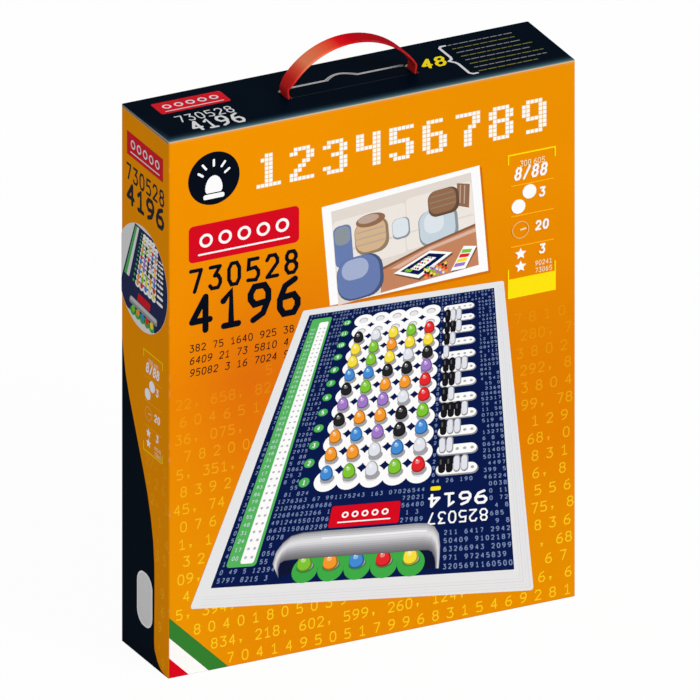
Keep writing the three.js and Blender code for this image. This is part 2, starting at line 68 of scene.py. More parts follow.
def camera_to_match():
    """Looks at the carton from the left front and above in a parallel view."""
    azimuth, elevation, distance = math.radians(-26.45), math.radians(24.1), 1.5
    aim, view_width = Vector((0.00106, 0, 0.1724)), 0.4109
    back = Vector((math.sin(azimuth) * math.cos(elevation),
                   -math.cos(azimuth) * math.cos(elevation), math.sin(elevation)))
    data = bpy.data.cameras.new("picture_camera")
    data.type, data.ortho_scale = "ORTHO", view_width
    data.clip_start, data.clip_end = 0.1, 20
    camera = bpy.data.objects.new("picture_camera", data)
    bpy.context.scene.collection.objects.link(camera)
    camera.location = aim + back * distance
    camera.rotation_euler = back.to_track_quat("Z", "Y").to_euler()
    bpy.context.scene.camera = camera


camera_to_match()


# Colours and finishes

def paint(red, green, blue):
    """Turns a colour as it is seen, 0 to 255, into the shader's linear one."""
    seen = np.array([red, green, blue]) / 255
    linear = np.where(seen < 0.04045, seen / 12.92, ((seen + 0.055) / 1.055) ** 2.4)
    return (*linear.tolist(), 1)


class Value:
    """A number that varies over a surface. Sums written with it add Math nodes."""

    def __init__(self, nodes, socket):
        self.nodes, self.socket = nodes, socket

    def math(self, operation, *given):
        return self.nodes.node("ShaderNodeMath", {"operation": operation}, dict(enumerate(given)))

    def __rsub__(self, other):
        return self.math("SUBTRACT", other, self)


for method, operation in {
        "__add__": "ADD", "__radd__": "ADD", "__sub__": "SUBTRACT", "__mul__": "MULTIPLY", "__rmul__": "MULTIPLY",
        "__truediv__": "DIVIDE", "__abs__": "ABSOLUTE", "above": "GREATER_THAN", "below": "LESS_THAN",
        "least": "MINIMUM", "most": "MAXIMUM", "wave": "SINE"}.items():
    setattr(Value, method, lambda self, *other, operation=operation: self.math(operation, self, *other))


class Nodes:
    """The nodes of a material or of the sky in the making, all added by one method."""

    def __init__(self, owner):
        owner.use_nodes = True
        self.tree = owner.node_tree
        self.tree.nodes.clear()

    def node(self, kind, settings=None, sockets=None, output=0):
        """Adds a node: its settings first, then the values or links of its sockets."""
        made = self.tree.nodes.new(kind)
        for name, setting in (settings or {}).items():
            if name == "stops":
                self.set_stops(made.color_ramp, setting)
            else:
                setattr(made, name, setting)
        for key, given in (sockets or {}).items():
            if isinstance(given, Value):
                self.tree.links.new(given.socket, made.inputs[key])
            else:
                made.inputs[key].default_value = given
        return None if output is None else Value(self, made.outputs[output])

    @staticmethod
    def set_stops(ramp, stops):
        """Gives a colour ramp rows of a place and a colour."""
        while len(ramp.elements) < len(stops):
            ramp.elements.new(1)
        for element, (position, colour) in zip(ramp.elements, stops):
            element.position, element.color = position, colour

    def looked_at(self):
        """1 where the camera looks, straight on or by way of a reflection or clear piece, and 0 for soft light."""
        straight, mirrored, clear = (self.node("ShaderNodeLightPath", output=f"Is {ray} Ray")
                                     for ray in ("Camera", "Glossy", "Transmission"))
        return straight.most(mirrored).most(clear)


class Finish(Nodes):
    """A material in the making: its coordinates, its ways to mix colours and the shader that ends it."""

    def __init__(self, name):
        self.material = bpy.data.materials.new(name)
        super().__init__(self.material)
        self.place = self.node("ShaderNodeTexCoord", output="Object")
        self.x, self.y, self.z = (
            self.node("ShaderNodeSeparateXYZ", sockets={0: self.place}, output=axis) for axis in "XYZ")

    def ramp(self, value, *stops):
        """Colours along a value, from rows of a place and a seen red, green and blue."""
        return self.node("ShaderNodeValToRGB", {"stops": [(at, paint(*seen)) for at, *seen in stops]}, {0: value})

    def rise(self, value, low, high):
        """0 below low, 1 above high, smooth between them."""
        return self.node("ShaderNodeMapRange", {"interpolation_type": "SMOOTHSTEP"},
                         {"Value": value, "From Min": low, "From Max": high})

    def blend(self, share, first, second):
        """The first colour where share is 0 and the second where it is 1."""
        return self.node("ShaderNodeMix", {"data_type": "RGBA"},
                         {0: share, 6: first, 7: second}, output=2)

    def shade(self, colour, factor):
        """A colour made lighter or darker by a factor."""
        given = colour if isinstance(colour, Value) else colour[:3]
        return self.node("ShaderNodeVectorMath", {"operation": "SCALE"},
                         {0: given, "Scale": factor})

    def grain(self, size, detail=3, stretch=(1, 1, 1)):
        """Uneven noise from 0 to 1 whose lumps are size metres long."""
        place = self.node("ShaderNodeMapping", {}, {0: self.place, "Scale": stretch})
        return self.node("ShaderNodeTexNoise", {}, {
            "Vector": place, "Scale": 1 / size, "Detail": detail, "Roughness": 0.6})

    def end(self, colour, roughness, height=None, strength=0.3, **fixed):
        """Joins colour, roughness and a relief 0.1 mm deep to the shader; fixed names its other sockets."""
        sockets = {"Base Color": colour, "Roughness": roughness}
        if height is not None:
            sockets["Normal"] = self.node("ShaderNodeBump", {}, {
                "Strength": strength, "Distance": 0.1 * MM, "Height": height})
        sockets.update({name.replace("_", " "): value for name, value in fixed.items()})
        shader = self.node("ShaderNodeBsdfPrincipled", {}, sockets)
        self.node("ShaderNodeOutputMaterial", {}, {"Surface": shader}, output=None)
        return self.material


def dress(finish, *nodes):
    """Gives CAD nodes a finish in place of their plain one."""
    for name in nodes:
        slots = frame["nodes"][name].material_slots
        for slot in slots:
            slot.material = finish
        if not slots:
            frame["nodes"][name].data.materials.append(finish)


# The carton's printed card

SIDE_ORANGE = (243, 150, 2)
NAVY = paint(0, 11, 25)
CARD_EDGE = paint(176, 170, 158)
LINER = paint(190, 181, 166)
FLUTES = 2 * math.pi / 0.0024  # one wave to every 2.4 mm
CARD_SHINE = 0.003


def front_ground(f):
    """The front's orange: yellowish at the top and near the foot, redder in a wide band above the middle."""
    height, across = f.z / TOP, (f.x - LEFT) / (RIGHT - LEFT)
    left = f.ramp(height, (0.0, 228, 138, 3), (0.17, 231, 143, 3), (0.3, 230, 135, 3), (0.42, 227, 118, 8),
                  (0.53, 224, 110, 12), (0.64, 230, 124, 7), (0.8, 241, 147, 1), (1.0, 243, 148, 1))
    right = f.ramp(height, (0.0, 228, 143, 1), (0.17, 229, 139, 1), (0.3, 226, 128, 1), (0.44, 225, 127, 1),
                   (0.53, 226, 130, 2), (0.64, 231, 137, 1), (0.8, 236, 143, 1), (1.0, 236, 145, 1))
    rim = f.ramp(height, (0.0, 234, 150, 3), (0.3, 235, 142, 3), (0.53, 235, 131, 5), (0.64, 240, 140, 2),
                 (1.0, 243, 148, 1))
    return f.blend(f.rise(across, 0.1, 0.95), f.blend(f.rise(across, 0, 0.22), rim, left), right)


def corner_bands(f, ground):
    """Red, white and green bands cut across the front's lower left corner at 45 degrees."""
    reach = (f.x - LEFT) + f.z
    bands = f.blend(reach.above(0.0395), paint(52, 126, 48), ground)
    bands = f.blend(reach.below(0.0265), bands, paint(250, 250, 248))
    return f.blend(reach.below(0.0135), bands, paint(214, 10, 30))


# Sweeping line on the narrow sides: share of the height below the top, share of the depth from the front
SIDE_CURVE = [(0.0, 1.2), (0.38, 1.07), (0.41, 1.015), (0.454, 0.962), (0.495, 0.912), (0.534, 0.831),
              (0.572, 0.735), (0.61, 0.638), (0.648, 0.539), (0.686, 0.451), (0.726, 0.38), (0.767, 0.329),
              (0.81, 0.305), (0.86, 0.302), (0.95, 0.311), (0.967, 0.303), (0.985, 0.238), (0.991, 0.197),
              (0.997, 0.149), (1.0, 0.05)]


def side_curve(f, depth):
    """1 on the rear side of the sweeping line that parts navy from orange on the narrow sides.
    depth is the distance from the front edge in metres; the line is a smooth ramp over the height."""
    stops = [(down, (share / 2,) * 3 + (1,)) for down, share in SIDE_CURVE]  # halved, as a stop holds 1 at most
    line = f.node("ShaderNodeValToRGB", {"stops": stops}, {0: (TOP - f.z) / TOP})
    return f.rise(depth - line * (2 * DEEP * MM), -0.0002, 0.0002)


def outer_print(f):
    """What is printed on the carton's outside: front, both narrow sides, rear and base."""
    from_front, from_left, from_right = f.y - FRONT, f.x - LEFT, RIGHT - f.x
    from_side, from_rear = from_left.least(from_right), REAR - f.y
    front = corner_bands(f, front_ground(f))
    side = f.blend(side_curve(f, from_front), paint(*SIDE_ORANGE), NAVY)
    on_side = from_side.below(from_front) * from_side.below(from_rear)
    on_rear = from_rear.below(from_side) * from_rear.below(from_front)
    return f.blend(on_rear, f.blend(on_side, front, side), NAVY)


def flute_edge(f, depth, along):
    """Cut edge of fluted card: a wavy middle layer between two flat liners, with painted shade in the hollows between
    them.
    depth runs from 0 to 1 through the card and along runs in metres beside it."""
    middle = abs(depth - 0.5 - 0.32 * (along * FLUTES).wave())
    paper = f.rise(middle, 0.16, 0.1).most(f.rise(abs(depth - 0.5), 0.36, 0.42))
    # the dark brown between the layers is painted shade in the flutes' hollows
    return f.blend(paper, paint(112, 100, 84), CARD_EDGE)


def card_relief(f):
    """Fine paper fibres over the faint ribs of the flutes beneath."""
    return f.grain(0.0006, 4) + 0.05 * ((f.x + f.y) * FLUTES).wave()


def worn(f, colour):
    """Lightens broken patches of the print along the carton's upright edges and its corners: wear, and a painted
    highlight along those edges.
    """
    from_edge = (f.x - LEFT).least(RIGHT - f.x) + (f.y - FRONT).least(REAR - f.y)
    near = f.rise(from_edge, 0.0014, 0.0004)
    patches = f.rise(f.grain(0.006, 5), 0.56, 0.7)
    # pale patches near the edges: partly wear, partly a painted edge highlight
    return f.blend(near * patches * 0.16, colour, paint(236, 216, 176))


def carton_card():
    """Printed card outside, grey liner inside, and the cut edge of the flutes round the top."""
    f = Finish("carton_card")
    mottle = f.grain(0.02, 4)
    colour = f.shade(worn(f, outer_print(f)), 0.985 + 0.03 * mottle)
    inside = abs(f.x).below(RIGHT - WALL * 0.85) * abs(f.y).below(REAR - WALL * 0.85)
    colour = f.blend(inside, colour, f.shade(LINER, 0.9 + 0.2 * f.grain(0.0015, 5, (1, 1, 0.3))))
    depth = (RIGHT - abs(f.x)).least(REAR - abs(f.y)) / WALL
    colour = f.blend(f.z.above(lid_low.z - 0.00003), colour, flute_edge(f, depth, f.x + f.y))
    roughness = 0.42 + 0.12 * mottle + inside * 0.35
    return f.end(colour, roughness, card_relief(f), 0.12, Specular_IOR_Level=CARD_SHINE)


def lid_card():
    """The lid's printed top with its pale fold lines, partly cracked ink and partly a painted highlight on the fold,
    its orange front fold, and bare card beneath.
    """
    f = Finish("lid_card")
    from_front, from_left = (f.y - FRONT) / MM, (f.x - LEFT) / MM
    edge = from_front.least(from_left + 2 + from_front * 0.12)
    glow = f.ramp(edge / 10, (0.0, 128, 152, 154), (0.12, 88, 118, 126), (0.3, 52, 80, 92), (0.52, 20, 42, 56),
                  (0.8, 2, 14, 28), (1.0, 0, 10, 24))
    # pale lines on the front and left folds: cracked ink and a painted highlight where the card bends
    fold = f.rise(from_front, 0.6, 0.2).most(f.rise(from_left, 0.4, 0.2) * f.rise(from_front, 50, 5))
    top = f.blend(fold * 0.8, glow, paint(230, 196, 150))
    low_front = f.rise(f.z, TOP - 0.0006, TOP - 0.0008) * f.rise(from_front, 1.2, 1.0)
    mottle = f.grain(0.02, 4)
    colour = f.shade(f.blend(low_front, top, front_ground(f)), 0.97 + 0.06 * mottle)
    on_edge = abs(f.x).above(RIGHT - 0.00004).most(f.y.above(REAR - 0.00004))
    colour = f.blend(on_edge, colour, flute_edge(f, (f.z - lid_low.z) / WALL, f.x + f.y))
    cut = f.z.below(TOP - 0.00005) * from_front.above(1.3) * (1 - on_edge)
    colour = f.blend(cut, colour, CARD_EDGE)
    liner = f.shade(LINER, 0.9 + 0.2 * f.grain(0.0015, 5, (0.3, 1, 1)))
    colour = f.blend(f.z.below(lid_low.z + 0.00005), colour, liner)
    return f.end(colour, 0.45 + 0.12 * mottle, card_relief(f), 0.12, Specular_IOR_Level=CARD_SHINE)


dress(carton_card(), "carton_sleeve", "bottom_outer_flap")
dress(lid_card(), "lid_panel", "lid_finger_tab", "lid_tuck_flap")


# Other card, paper and plastic finishes

def bare_card():
    """Unprinted grey card of the hidden flaps: pulp flecks over a faint ribbing."""
    f = Finish("bare_card")
    flecks = f.rise(f.grain(0.0009, 4), 0.62, 0.72)
    colour = f.blend(flecks * 0.5, f.shade(LINER, 0.94 + 0.12 * f.grain(0.015)), paint(120, 104, 84))
    return f.end(colour, 0.82 + 0.12 * f.grain(0.003), card_relief(f), 0.25, Specular_IOR_Level=0.15)


def moulded(name, colour, roughness, mottle=0.05, coat=0.0):
    """Moulded plastic: slight cloudiness in its colour and a fine orange-peel skin."""
    f = Finish(name)
    cloud = f.grain(0.012, 4)
    body = f.shade(colour, 1 - mottle / 2 + mottle * cloud)
    return f.end(body, roughness - 0.06 + 0.12 * cloud, f.grain(0.0011, 3), 0.08, Coat_Weight=coat, Coat_Roughness=0.12)


def strap_plastic():
    """Red strap: satin skin with fine lengthwise drawing lines, a painted highlight on its left shoulder, painted shade
    on its right limb, and scuffed rims.
    """
    f = Finish("strap_plastic")
    lines = f.grain(0.0006, 4, (0.05, 1, 0.05))
    # colour along the strap: a painted highlight on the left shoulder and painted shade towards the right
    painted_highlight_and_shade = f.ramp(f.x / 0.092 + 0.5, (0.02, 196, 36, 36), (0.08, 226, 46, 42), (0.13, 250, 88, 62),
                   (0.18, 255, 142, 98), (0.24, 255, 132, 90), (0.33, 255, 96, 62), (0.42, 240, 24, 32),
                   (0.5, 208, 12, 26), (0.6, 186, 20, 30), (0.7, 172, 20, 30), (0.88, 178, 24, 34), (0.98, 204, 46, 42))
    colour = f.shade(painted_highlight_and_shade, 0.93 + 0.14 * f.grain(0.014, 3))
    rim = f.rise(abs(f.y), 0.0059, 0.0064) * f.rise(f.grain(0.004, 5), 0.45, 0.7)
    colour = f.blend(rim * 0.3, colour, paint(226, 84, 70))
    return f.end(colour, 0.3 + 0.1 * lines, lines, 0.15, Specular_IOR_Level=0.0)


def hood_plastic():
    """Silver grey plastic with fine metal flakes in it."""
    f = Finish("hood_plastic")
    flake = f.grain(0.00035, 2)
    colour = f.shade(paint(168, 168, 173), 0.88 + 0.12 * f.grain(0.03, 2) + 0.18 * flake)
    return f.end(colour, 0.3 + 0.14 * flake, f.grain(0.0012), 0.06, Metallic=0.55)


def folded_paper():
    """Leaflet paper: soft fibres and the page edges along its sides."""
    f = Finish("folded_paper")
    pages = (f.y * (2 * math.pi / 0.00022)).wave()
    edge = abs(f.x).above(leaflet_high.x - 0.0002)
    colour = f.shade(paint(243, 240, 230), 0.97 + 0.05 * f.grain(0.01, 4))
    colour = f.blend(edge * f.rise(pages, 0.1, 0.8), colour, paint(176, 172, 160))
    return f.end(colour, 0.8 + 0.1 * f.grain(0.002), f.grain(0.0007, 5), 0.2, Specular_IOR_Level=0.2)


def board_print():
    """Navy card of the pegboard with its green band round the counter strip and its paper edge."""
    f = Finish("board_print")
    beside = abs(f.x / MM + 86)  # millimetres from the strip's middle line
    beyond = abs((f.z - base_low.z) / MM - 129)
    mottle = f.grain(0.03, 4)
    navy = f.shade(paint(22, 38, 88), 0.9 + 0.2 * mottle)
    green = f.rise((beside - 15).most(beyond - 101), 0.3, -0.3)
    trim = f.rise(abs(beside - 14.2), 0.5, 0.3) * f.rise(beyond, 101, 100.5)
    colour = f.blend(trim, f.blend(green, navy, paint(84, 178, 92)), paint(206, 232, 204))
    behind = f.y.above(card_low.y + 0.0002)
    colour = f.blend(behind, colour, f.shade(paint(200, 194, 182), 0.95 + 0.1 * f.grain(0.002)))
    return f.end(colour, 0.42 + 0.14 * mottle, card_relief(f), 0.1, Specular_IOR_Level=0.3)


# Pieces made of points and faces

def piece(name, points, faces, finish, body, smooth=True):
    """Puts a whole closed skin into a mesh, turned so that it encloses a positive volume, and ties it to a body.
    faces is a list of arrays, each holding the corners of faces with one number of sides."""
    points = np.asarray(points, float).reshape(-1, 3)
    fans = np.concatenate([np.stack([np.repeat(f[:, :1], f.shape[1] - 2, 1), f[:, 1:-1], f[:, 2:]], -1)
                           .reshape(-1, 3) for f in faces])
    a, b, c = (points[fans[:, k]] - points.mean(0) for k in range(3))
    if np.sum(a * np.cross(b, c)) < 0:
        faces = [f[:, ::-1] for f in faces]
    corners = np.concatenate([f.ravel() for f in faces]).astype(np.int32)
    sides = np.concatenate([np.full(len(f), f.shape[1]) for f in faces]).astype(np.int32)
    mesh = bpy.data.meshes.new(name)
    mesh.vertices.add(len(points))
    mesh.vertices.foreach_set("co", points.astype(np.float32).ravel())
    mesh.loops.add(len(corners))
    mesh.loops.foreach_set("vertex_index", corners)
    mesh.polygons.add(len(sides))
    mesh.polygons.foreach_set("loop_start", np.concatenate([[0], np.cumsum(sides)[:-1]]).astype(np.int32))
    mesh.polygons.foreach_set("loop_total", sides)
    mesh.polygons.foreach_set("use_smooth", np.full(len(sides), smooth))
    mesh.materials.append(finish)
    mesh.update(calc_edges=True)
    made = bpy.data.objects.new(name, mesh)
    bpy.context.scene.collection.objects.link(made)
    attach(made, body)
    return made


def grid_faces(rows, columns, closed=False):
    """Four-sided faces over points numbered row by row, each row a ring; closed joins the last row to the first."""
    row, column = np.meshgrid(np.arange(rows - (not closed)), np.arange(columns), indexing="ij")
    after, beside = (row + 1) % rows, (column + 1) % columns
    return np.stack([row * columns + column, row * columns + beside,
                     after * columns + beside, after * columns + column], -1).reshape(-1, 4)


def turned(name, radii, heights, centre, finish, body, around):
    """A turned form: point = centre + radius * (cos a, 0, sin a) - height along Y, with a point at each end."""
    angle = np.linspace(0, 2 * math.pi, around, endpoint=False)
    rows = len(radii)
    points = np.stack([np.outer(radii, np.cos(angle)), np.repeat(-heights[:, None], around, 1),
                       np.outer(radii, np.sin(angle))], -1).reshape(-1, 3)
    ends = np.array([[0, -heights[0], 0], [0, -heights[-1], 0]])
    points = np.concatenate([points, ends]) * MM + centre
    step = np.arange(around)
    first = np.stack([np.full(around, rows * around), (step + 1) % around, step], -1)
    last = np.stack([np.full(around, rows * around + 1), step + (rows - 1) * around,
                     (step + 1) % around + (rows - 1) * around], -1)
    return piece(name, points, [grid_faces(rows, around), first, last], finish, body)


def carried(name, path, section, finish, body):
    """A section swept along a path: point = path + normal * thickness + Y * width.
    path is (n, 3), section is (n, k, 2) of width and thickness; both ends are capped."""
    along = np.gradient(path, axis=0)
    along /= np.linalg.norm(along, axis=1, keepdims=True)
    normal = np.cross(along, [0.0, 1.0, 0.0])
    points = (path[:, None] + normal[:, None] * section[..., 1:] +
              np.array([0.0, 1.0, 0.0]) * section[..., :1])
    rows, around = section.shape[:2]
    caps = np.stack([np.arange(around)[::-1], np.arange(around) + (rows - 1) * around])
    return piece(name, points * MM, [grid_faces(rows, around), caps], finish, body)


base_low, base_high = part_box("board_base")
leaflet_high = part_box("rules_leaflet")[1]
strap_low, strap_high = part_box("handle_strap")


def on_board(points):
    """Stands the board up: millimetres across, along and out of its face become the carton's X, Z and -Y."""
    return np.stack([points[..., 0] * MM, base_high.y - points[..., 2] * MM,
                     base_low.z + points[..., 1] * MM], -1)


def rounded_section(width, thickness):
    """Flat bar with soft edges: (cos a, sin a) with both raised to 0.34, times half width and half thickness."""
    angle = np.linspace(0, 2 * math.pi, 28, endpoint=False)
    across, out = (np.sign(wave) * np.abs(wave) ** 0.34 for wave in (np.cos(angle), np.sin(angle)))
    return np.stack([np.multiply.outer(width / 2, across), np.multiply.outer(thickness / 2, out)], -1)


def strap():
    """Arched red strap: hook, neck up through the slot, arc over the lid and down to the other hook.
    The arc is a circle through the two shoulders and the crown; every bend is softened by averaging.
    The band is 10.1 mm wide in the slots and 13 mm over them, and its crown stands 0.8 mm under the node's."""
    half, bulge, hook_reach, thickness = 41.5, 42.2, strap_high.x / MM - 0.3, 1.6
    hook, shoulder = strap_low.z / MM + thickness / 2, TALL + 4.3
    crown = strap_high.z / MM - thickness / 2 - 0.8
    rise = crown - shoulder
    radius = (bulge ** 2 + rise ** 2) / (2 * rise)
    spread = math.asin(bulge / radius)
    turn = np.linspace(-spread, spread, 400)
    arc = np.stack([radius * np.sin(turn), crown - radius + radius * np.cos(turn)], -1)
    down = np.linspace(shoulder, hook, 60)
    neck = np.stack([half + (bulge - half) * np.clip((down - TALL + 0.5) / (shoulder - TALL + 0.5), 0, 1), down], -1)
    foot = np.stack([np.linspace(half, hook_reach, 20), np.full(20, hook)], -1)
    side = np.concatenate([neck, foot])
    line = np.concatenate([side[::-1] * [-1, 1], arc, side])
    length = np.concatenate([[0], np.cumsum(np.linalg.norm(np.diff(line, axis=0), axis=1))])
    even = np.linspace(0, length[-1], 500)
    line = np.stack([np.interp(even, length, line[:, k]) for k in range(2)], -1)
    soft = np.hanning(15)
    padded = np.concatenate([2 * line[0] - line[7:0:-1], line, 2 * line[-1] - line[-2:-9:-1]])
    line = np.stack([np.convolve(padded[:, k], soft / soft.sum(), "valid") for k in range(2)], -1)
    path = np.stack([line[:, 0], np.zeros(len(line)), line[:, 1]], -1)
    widen = np.clip((line[:, 1] - TALL - 4) / 6, 0, 1)
    width = 10.1 + 2.9 * widen * widen * (3 - 2 * widen)
    section = rounded_section(width, np.full(len(line), thickness))
    band = carried("strap_band", path, section, strap_plastic(), "handle")
    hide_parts("handle_strap")


PEG_COLOURS = {
    "orange": (242, 138, 34), "red": (208, 24, 30), "yellow": (246, 214, 38), "black": (24, 24, 28),
    "purple": (142, 92, 178), "green": (92, 182, 46), "blue": (48, 118, 196), "white": (238, 238, 236)}
peg_finishes = {name: moulded(name + "_plastic", paint(*colour), 0.22, 0.06, coat=0.4)
                for name, colour in PEG_COLOURS.items()}


def peg_profile():
    """Egg-shaped head on a tapered stem: head radius = 6.6 (1 - (h / 11)^3.4)^0.48, tucked in at its foot."""
    stem = np.array([[0.6, -9.0], [1.9, -9.0], [2.25, -8.6], [2.3, -8.3], [3.0, -0.02], [3.3, 0.0], [5.2, 0.0]])
    height = 11 * np.sin(np.linspace(0.02, math.pi / 2, 26))
    radius = 6.6 * (1 - (height / 11) ** 3.4) ** 0.48
    radius -= 1.1 * np.clip(1 - height / 1.3, 0, 1) ** 2
    head = np.stack([np.maximum(radius, 0.05), height], -1)
    return np.concatenate([stem, head[:-1], [[0.35, 11.0]]])


def pin_profile():
    """Slim tapered head with a domed top on a thin stem."""
    stem = np.array([[0.3, -6.0], [0.7, -6.0], [0.9, -5.7], [0.9, -0.02], [1.1, 0.0], [1.85, 0.0], [2.1, 0.3]])
    turn = np.linspace(0, math.pi / 2, 8)[:-1]
    dome = np.stack([1.6 * np.cos(turn) ** 0.8, 6.0 + 1.0 * np.sin(turn)], -1)
    return np.concatenate([stem, dome, [[0.15, 7.0]]])


def pegs_and_pins():
    """Replaces every faceted peg and pin with a smooth one in the same hole and colour."""
    slots = {part["node"]: part["material_slot"] for part in frame["record"]["subparts"]}
    for node in frame["nodes"]:
        is_peg, is_pin = "_peg_" in node, "pin" in node
        if not (is_peg or is_pin):
            continue
        low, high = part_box(node)
        profile = peg_profile() if is_peg else pin_profile()
        seat = low.y + profile[-1, 1] * MM
        colour = slots[node].replace("_peg", "")
        made = turned("smooth_" + node, profile[:, 0], profile[:, 1],
                      np.array([(low.x + high.x) / 2, seat, (low.z + high.z) / 2]),
                      peg_finishes[colour], node, 40 if is_peg else 20)
        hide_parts(node)


def lattice(name, node, columns, rows, finish):
    """A plate of discs that run into one another, each with a hole in a raised ring.
    Round each hole, point = hole + radius * (cos a, sin a); radius runs from the hole's rim to the disc's edge,
    which is cut off half way to the next disc."""
    low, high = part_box(node)
    pitch, disc, hole, around = 19.0, 10.6, 3.6, 96
    middle_x = (low.x + high.x) / 2 / MM
    middle_y = ((low.z + high.z) / 2 - base_low.z) / MM
    bottom, top = (base_high.y - high.y) / MM, (base_high.y - low.y) / MM
    angle = np.linspace(0, 2 * math.pi, around, endpoint=False)
    cut = (pitch / 2) / np.maximum(np.abs(np.cos(angle)), np.abs(np.sin(angle)))
    column, row = np.meshgrid(np.arange(columns), np.arange(rows), indexing="ij")
    centre = np.stack([middle_x + (column.ravel() - (columns - 1) / 2) * pitch,
                       middle_y + (row.ravel() - (rows - 1) / 2) * pitch], -1)
    edge = np.minimum(disc, cut)
    share = np.array([0, 0, 0.03, 0.3, 0.42, 0.94, 1, 1])
    level = np.array([bottom, top - 0.15, top, top, top - 0.3, top - 0.3, top - 0.5, bottom])
    radius = hole + (edge[None] - hole) * share[:, None]
    ring = np.stack([radius * np.cos(angle), radius * np.sin(angle),
                     np.repeat(level[:, None], around, 1)], -1)
    cells = np.concatenate([centre, np.zeros((len(centre), 1))], 1)[:, None, None] + ring[None]
    one = grid_faces(len(share), around, closed=True)
    faces = (one[None] + (np.arange(len(centre)) * len(share) * around)[:, None, None]).reshape(-1, 4)
    made = piece(name, on_board(cells), [faces], finish, "board", smooth=False)
    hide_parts(node)


strap()
pegs_and_pins()
lattice("guess_discs", "guess_lattice", 5, 11, moulded("white_disc_plastic", paint(240, 240, 238), 0.34))
lattice("code_discs", "code_lattice", 5, 1, moulded("green_disc_plastic", paint(70, 168, 62), 0.34))
dress(bare_card(), "bottom_inner_flap", "bottom_dust_flap_left", "bottom_dust_flap_right",
      "lid_ear_left", "lid_ear_right")
dress(moulded("board_plastic", paint(238, 238, 236), 0.38, 0.03), "board_base")
dress(hood_plastic(), "hood")
dress(folded_paper(), "rules_leaflet")
dress(board_print(), "board_card")


# Ink: flat shapes in millimetres across and up a face, each array (shapes, corners, 2)

FACES = {  # where the drawing starts, and its across, up and outward directions
    "front": ((LEFT, FRONT, 0), (1, 0, 0), (0, 0, 1), (0, -1, 0)),
    "left": ((LEFT, REAR, 0), (0, -1, 0), (0, 0, 1), (-1, 0, 0)),
    "right": ((RIGHT, FRONT, 0), (0, 1, 0), (0, 0, 1), (1, 0, 0)),
    "rear": ((RIGHT, REAR, 0), (-1, 0, 0), (0, 0, 1), (0, 1, 0)),
    "lid": ((LEFT, FRONT, TOP), (1, 0, 0), (0, 1, 0), (0, 0, 1)),
    "board": ((0, card_low.y, base_low.z), (1, 0, 0), (0, 0, 1), (0, -1, 0)),
}
INK_COLOURS = {
    "navy": (3, 10, 22), "dim": (26, 38, 66), "black": (20, 20, 25), "white": (252, 252, 252),
    "cream": (252, 228, 186), "tan": (238, 190, 112), "red": (214, 8, 30), "yellow": (253, 228, 14),
    "gold": (251, 190, 30), "pale": (229, 230, 231), "field": (6, 23, 74), "deep": (12, 18, 48),
    "speck": (120, 140, 178), "green": (84, 178, 92), "grass": (62, 170, 70), "orange": (243, 152, 44),
    "violet": (160, 120, 200), "leaf": (126, 196, 50), "blue": (66, 138, 212), "sun": (246, 222, 62),
    "ruby": (226, 40, 44), "coal": (34, 34, 38), "pearl": (226, 228, 236), "dusk": (208, 112, 6),
    "wall": (226, 217, 208), "sofa": (238, 231, 223), "wood": (196, 132, 96), "bark": (146, 106, 80),
    "denim": (104, 124, 176), "mist": (198, 212, 222), "straw": (212, 180, 140), "olive": (134, 134, 62),
}
ink_finishes = {}


def ink(name):
    """Printing ink of one colour: nearly even, with a little mottle and a faint satin skin.
    A minus after the name makes it darker, a plus lighter, and a number alone is a grey."""
    if name not in ink_finishes:
        seen = np.array(INK_COLOURS[name.rstrip("-+")] if isinstance(name, str) else (name, name, name + 4), float)
        if str(name).endswith("-"):
            seen = seen * 0.7
        if str(name).endswith("+"):
            seen = seen + (255 - seen) * 0.4
        f = Finish(str(name).replace("-", "_dark").replace("+", "_light") + "_ink")
        mottle = f.grain(0.004, 3)
        colour = f.shade(paint(*seen), 0.985 + 0.03 * mottle)
        ink_finishes[name] = f.end(colour, 0.4 + 0.1 * mottle, Specular_IOR_Level=0.02)
    return ink_finishes[name]


def code_ink(name, ground, strength):
    """Yellow that comes up out of the orange ground towards the foot of the carton."""
    f = Finish(name)
    strong = (f.rise(f.z, 0.2, 0.03) * 0.9 + 0.12) * strength
    colour = f.blend(strong, ground(f), paint(250, 208, 34))
    return f.end(colour, 0.45 + 0.1 * f.grain(0.004), Specular_IOR_Level=0.02)


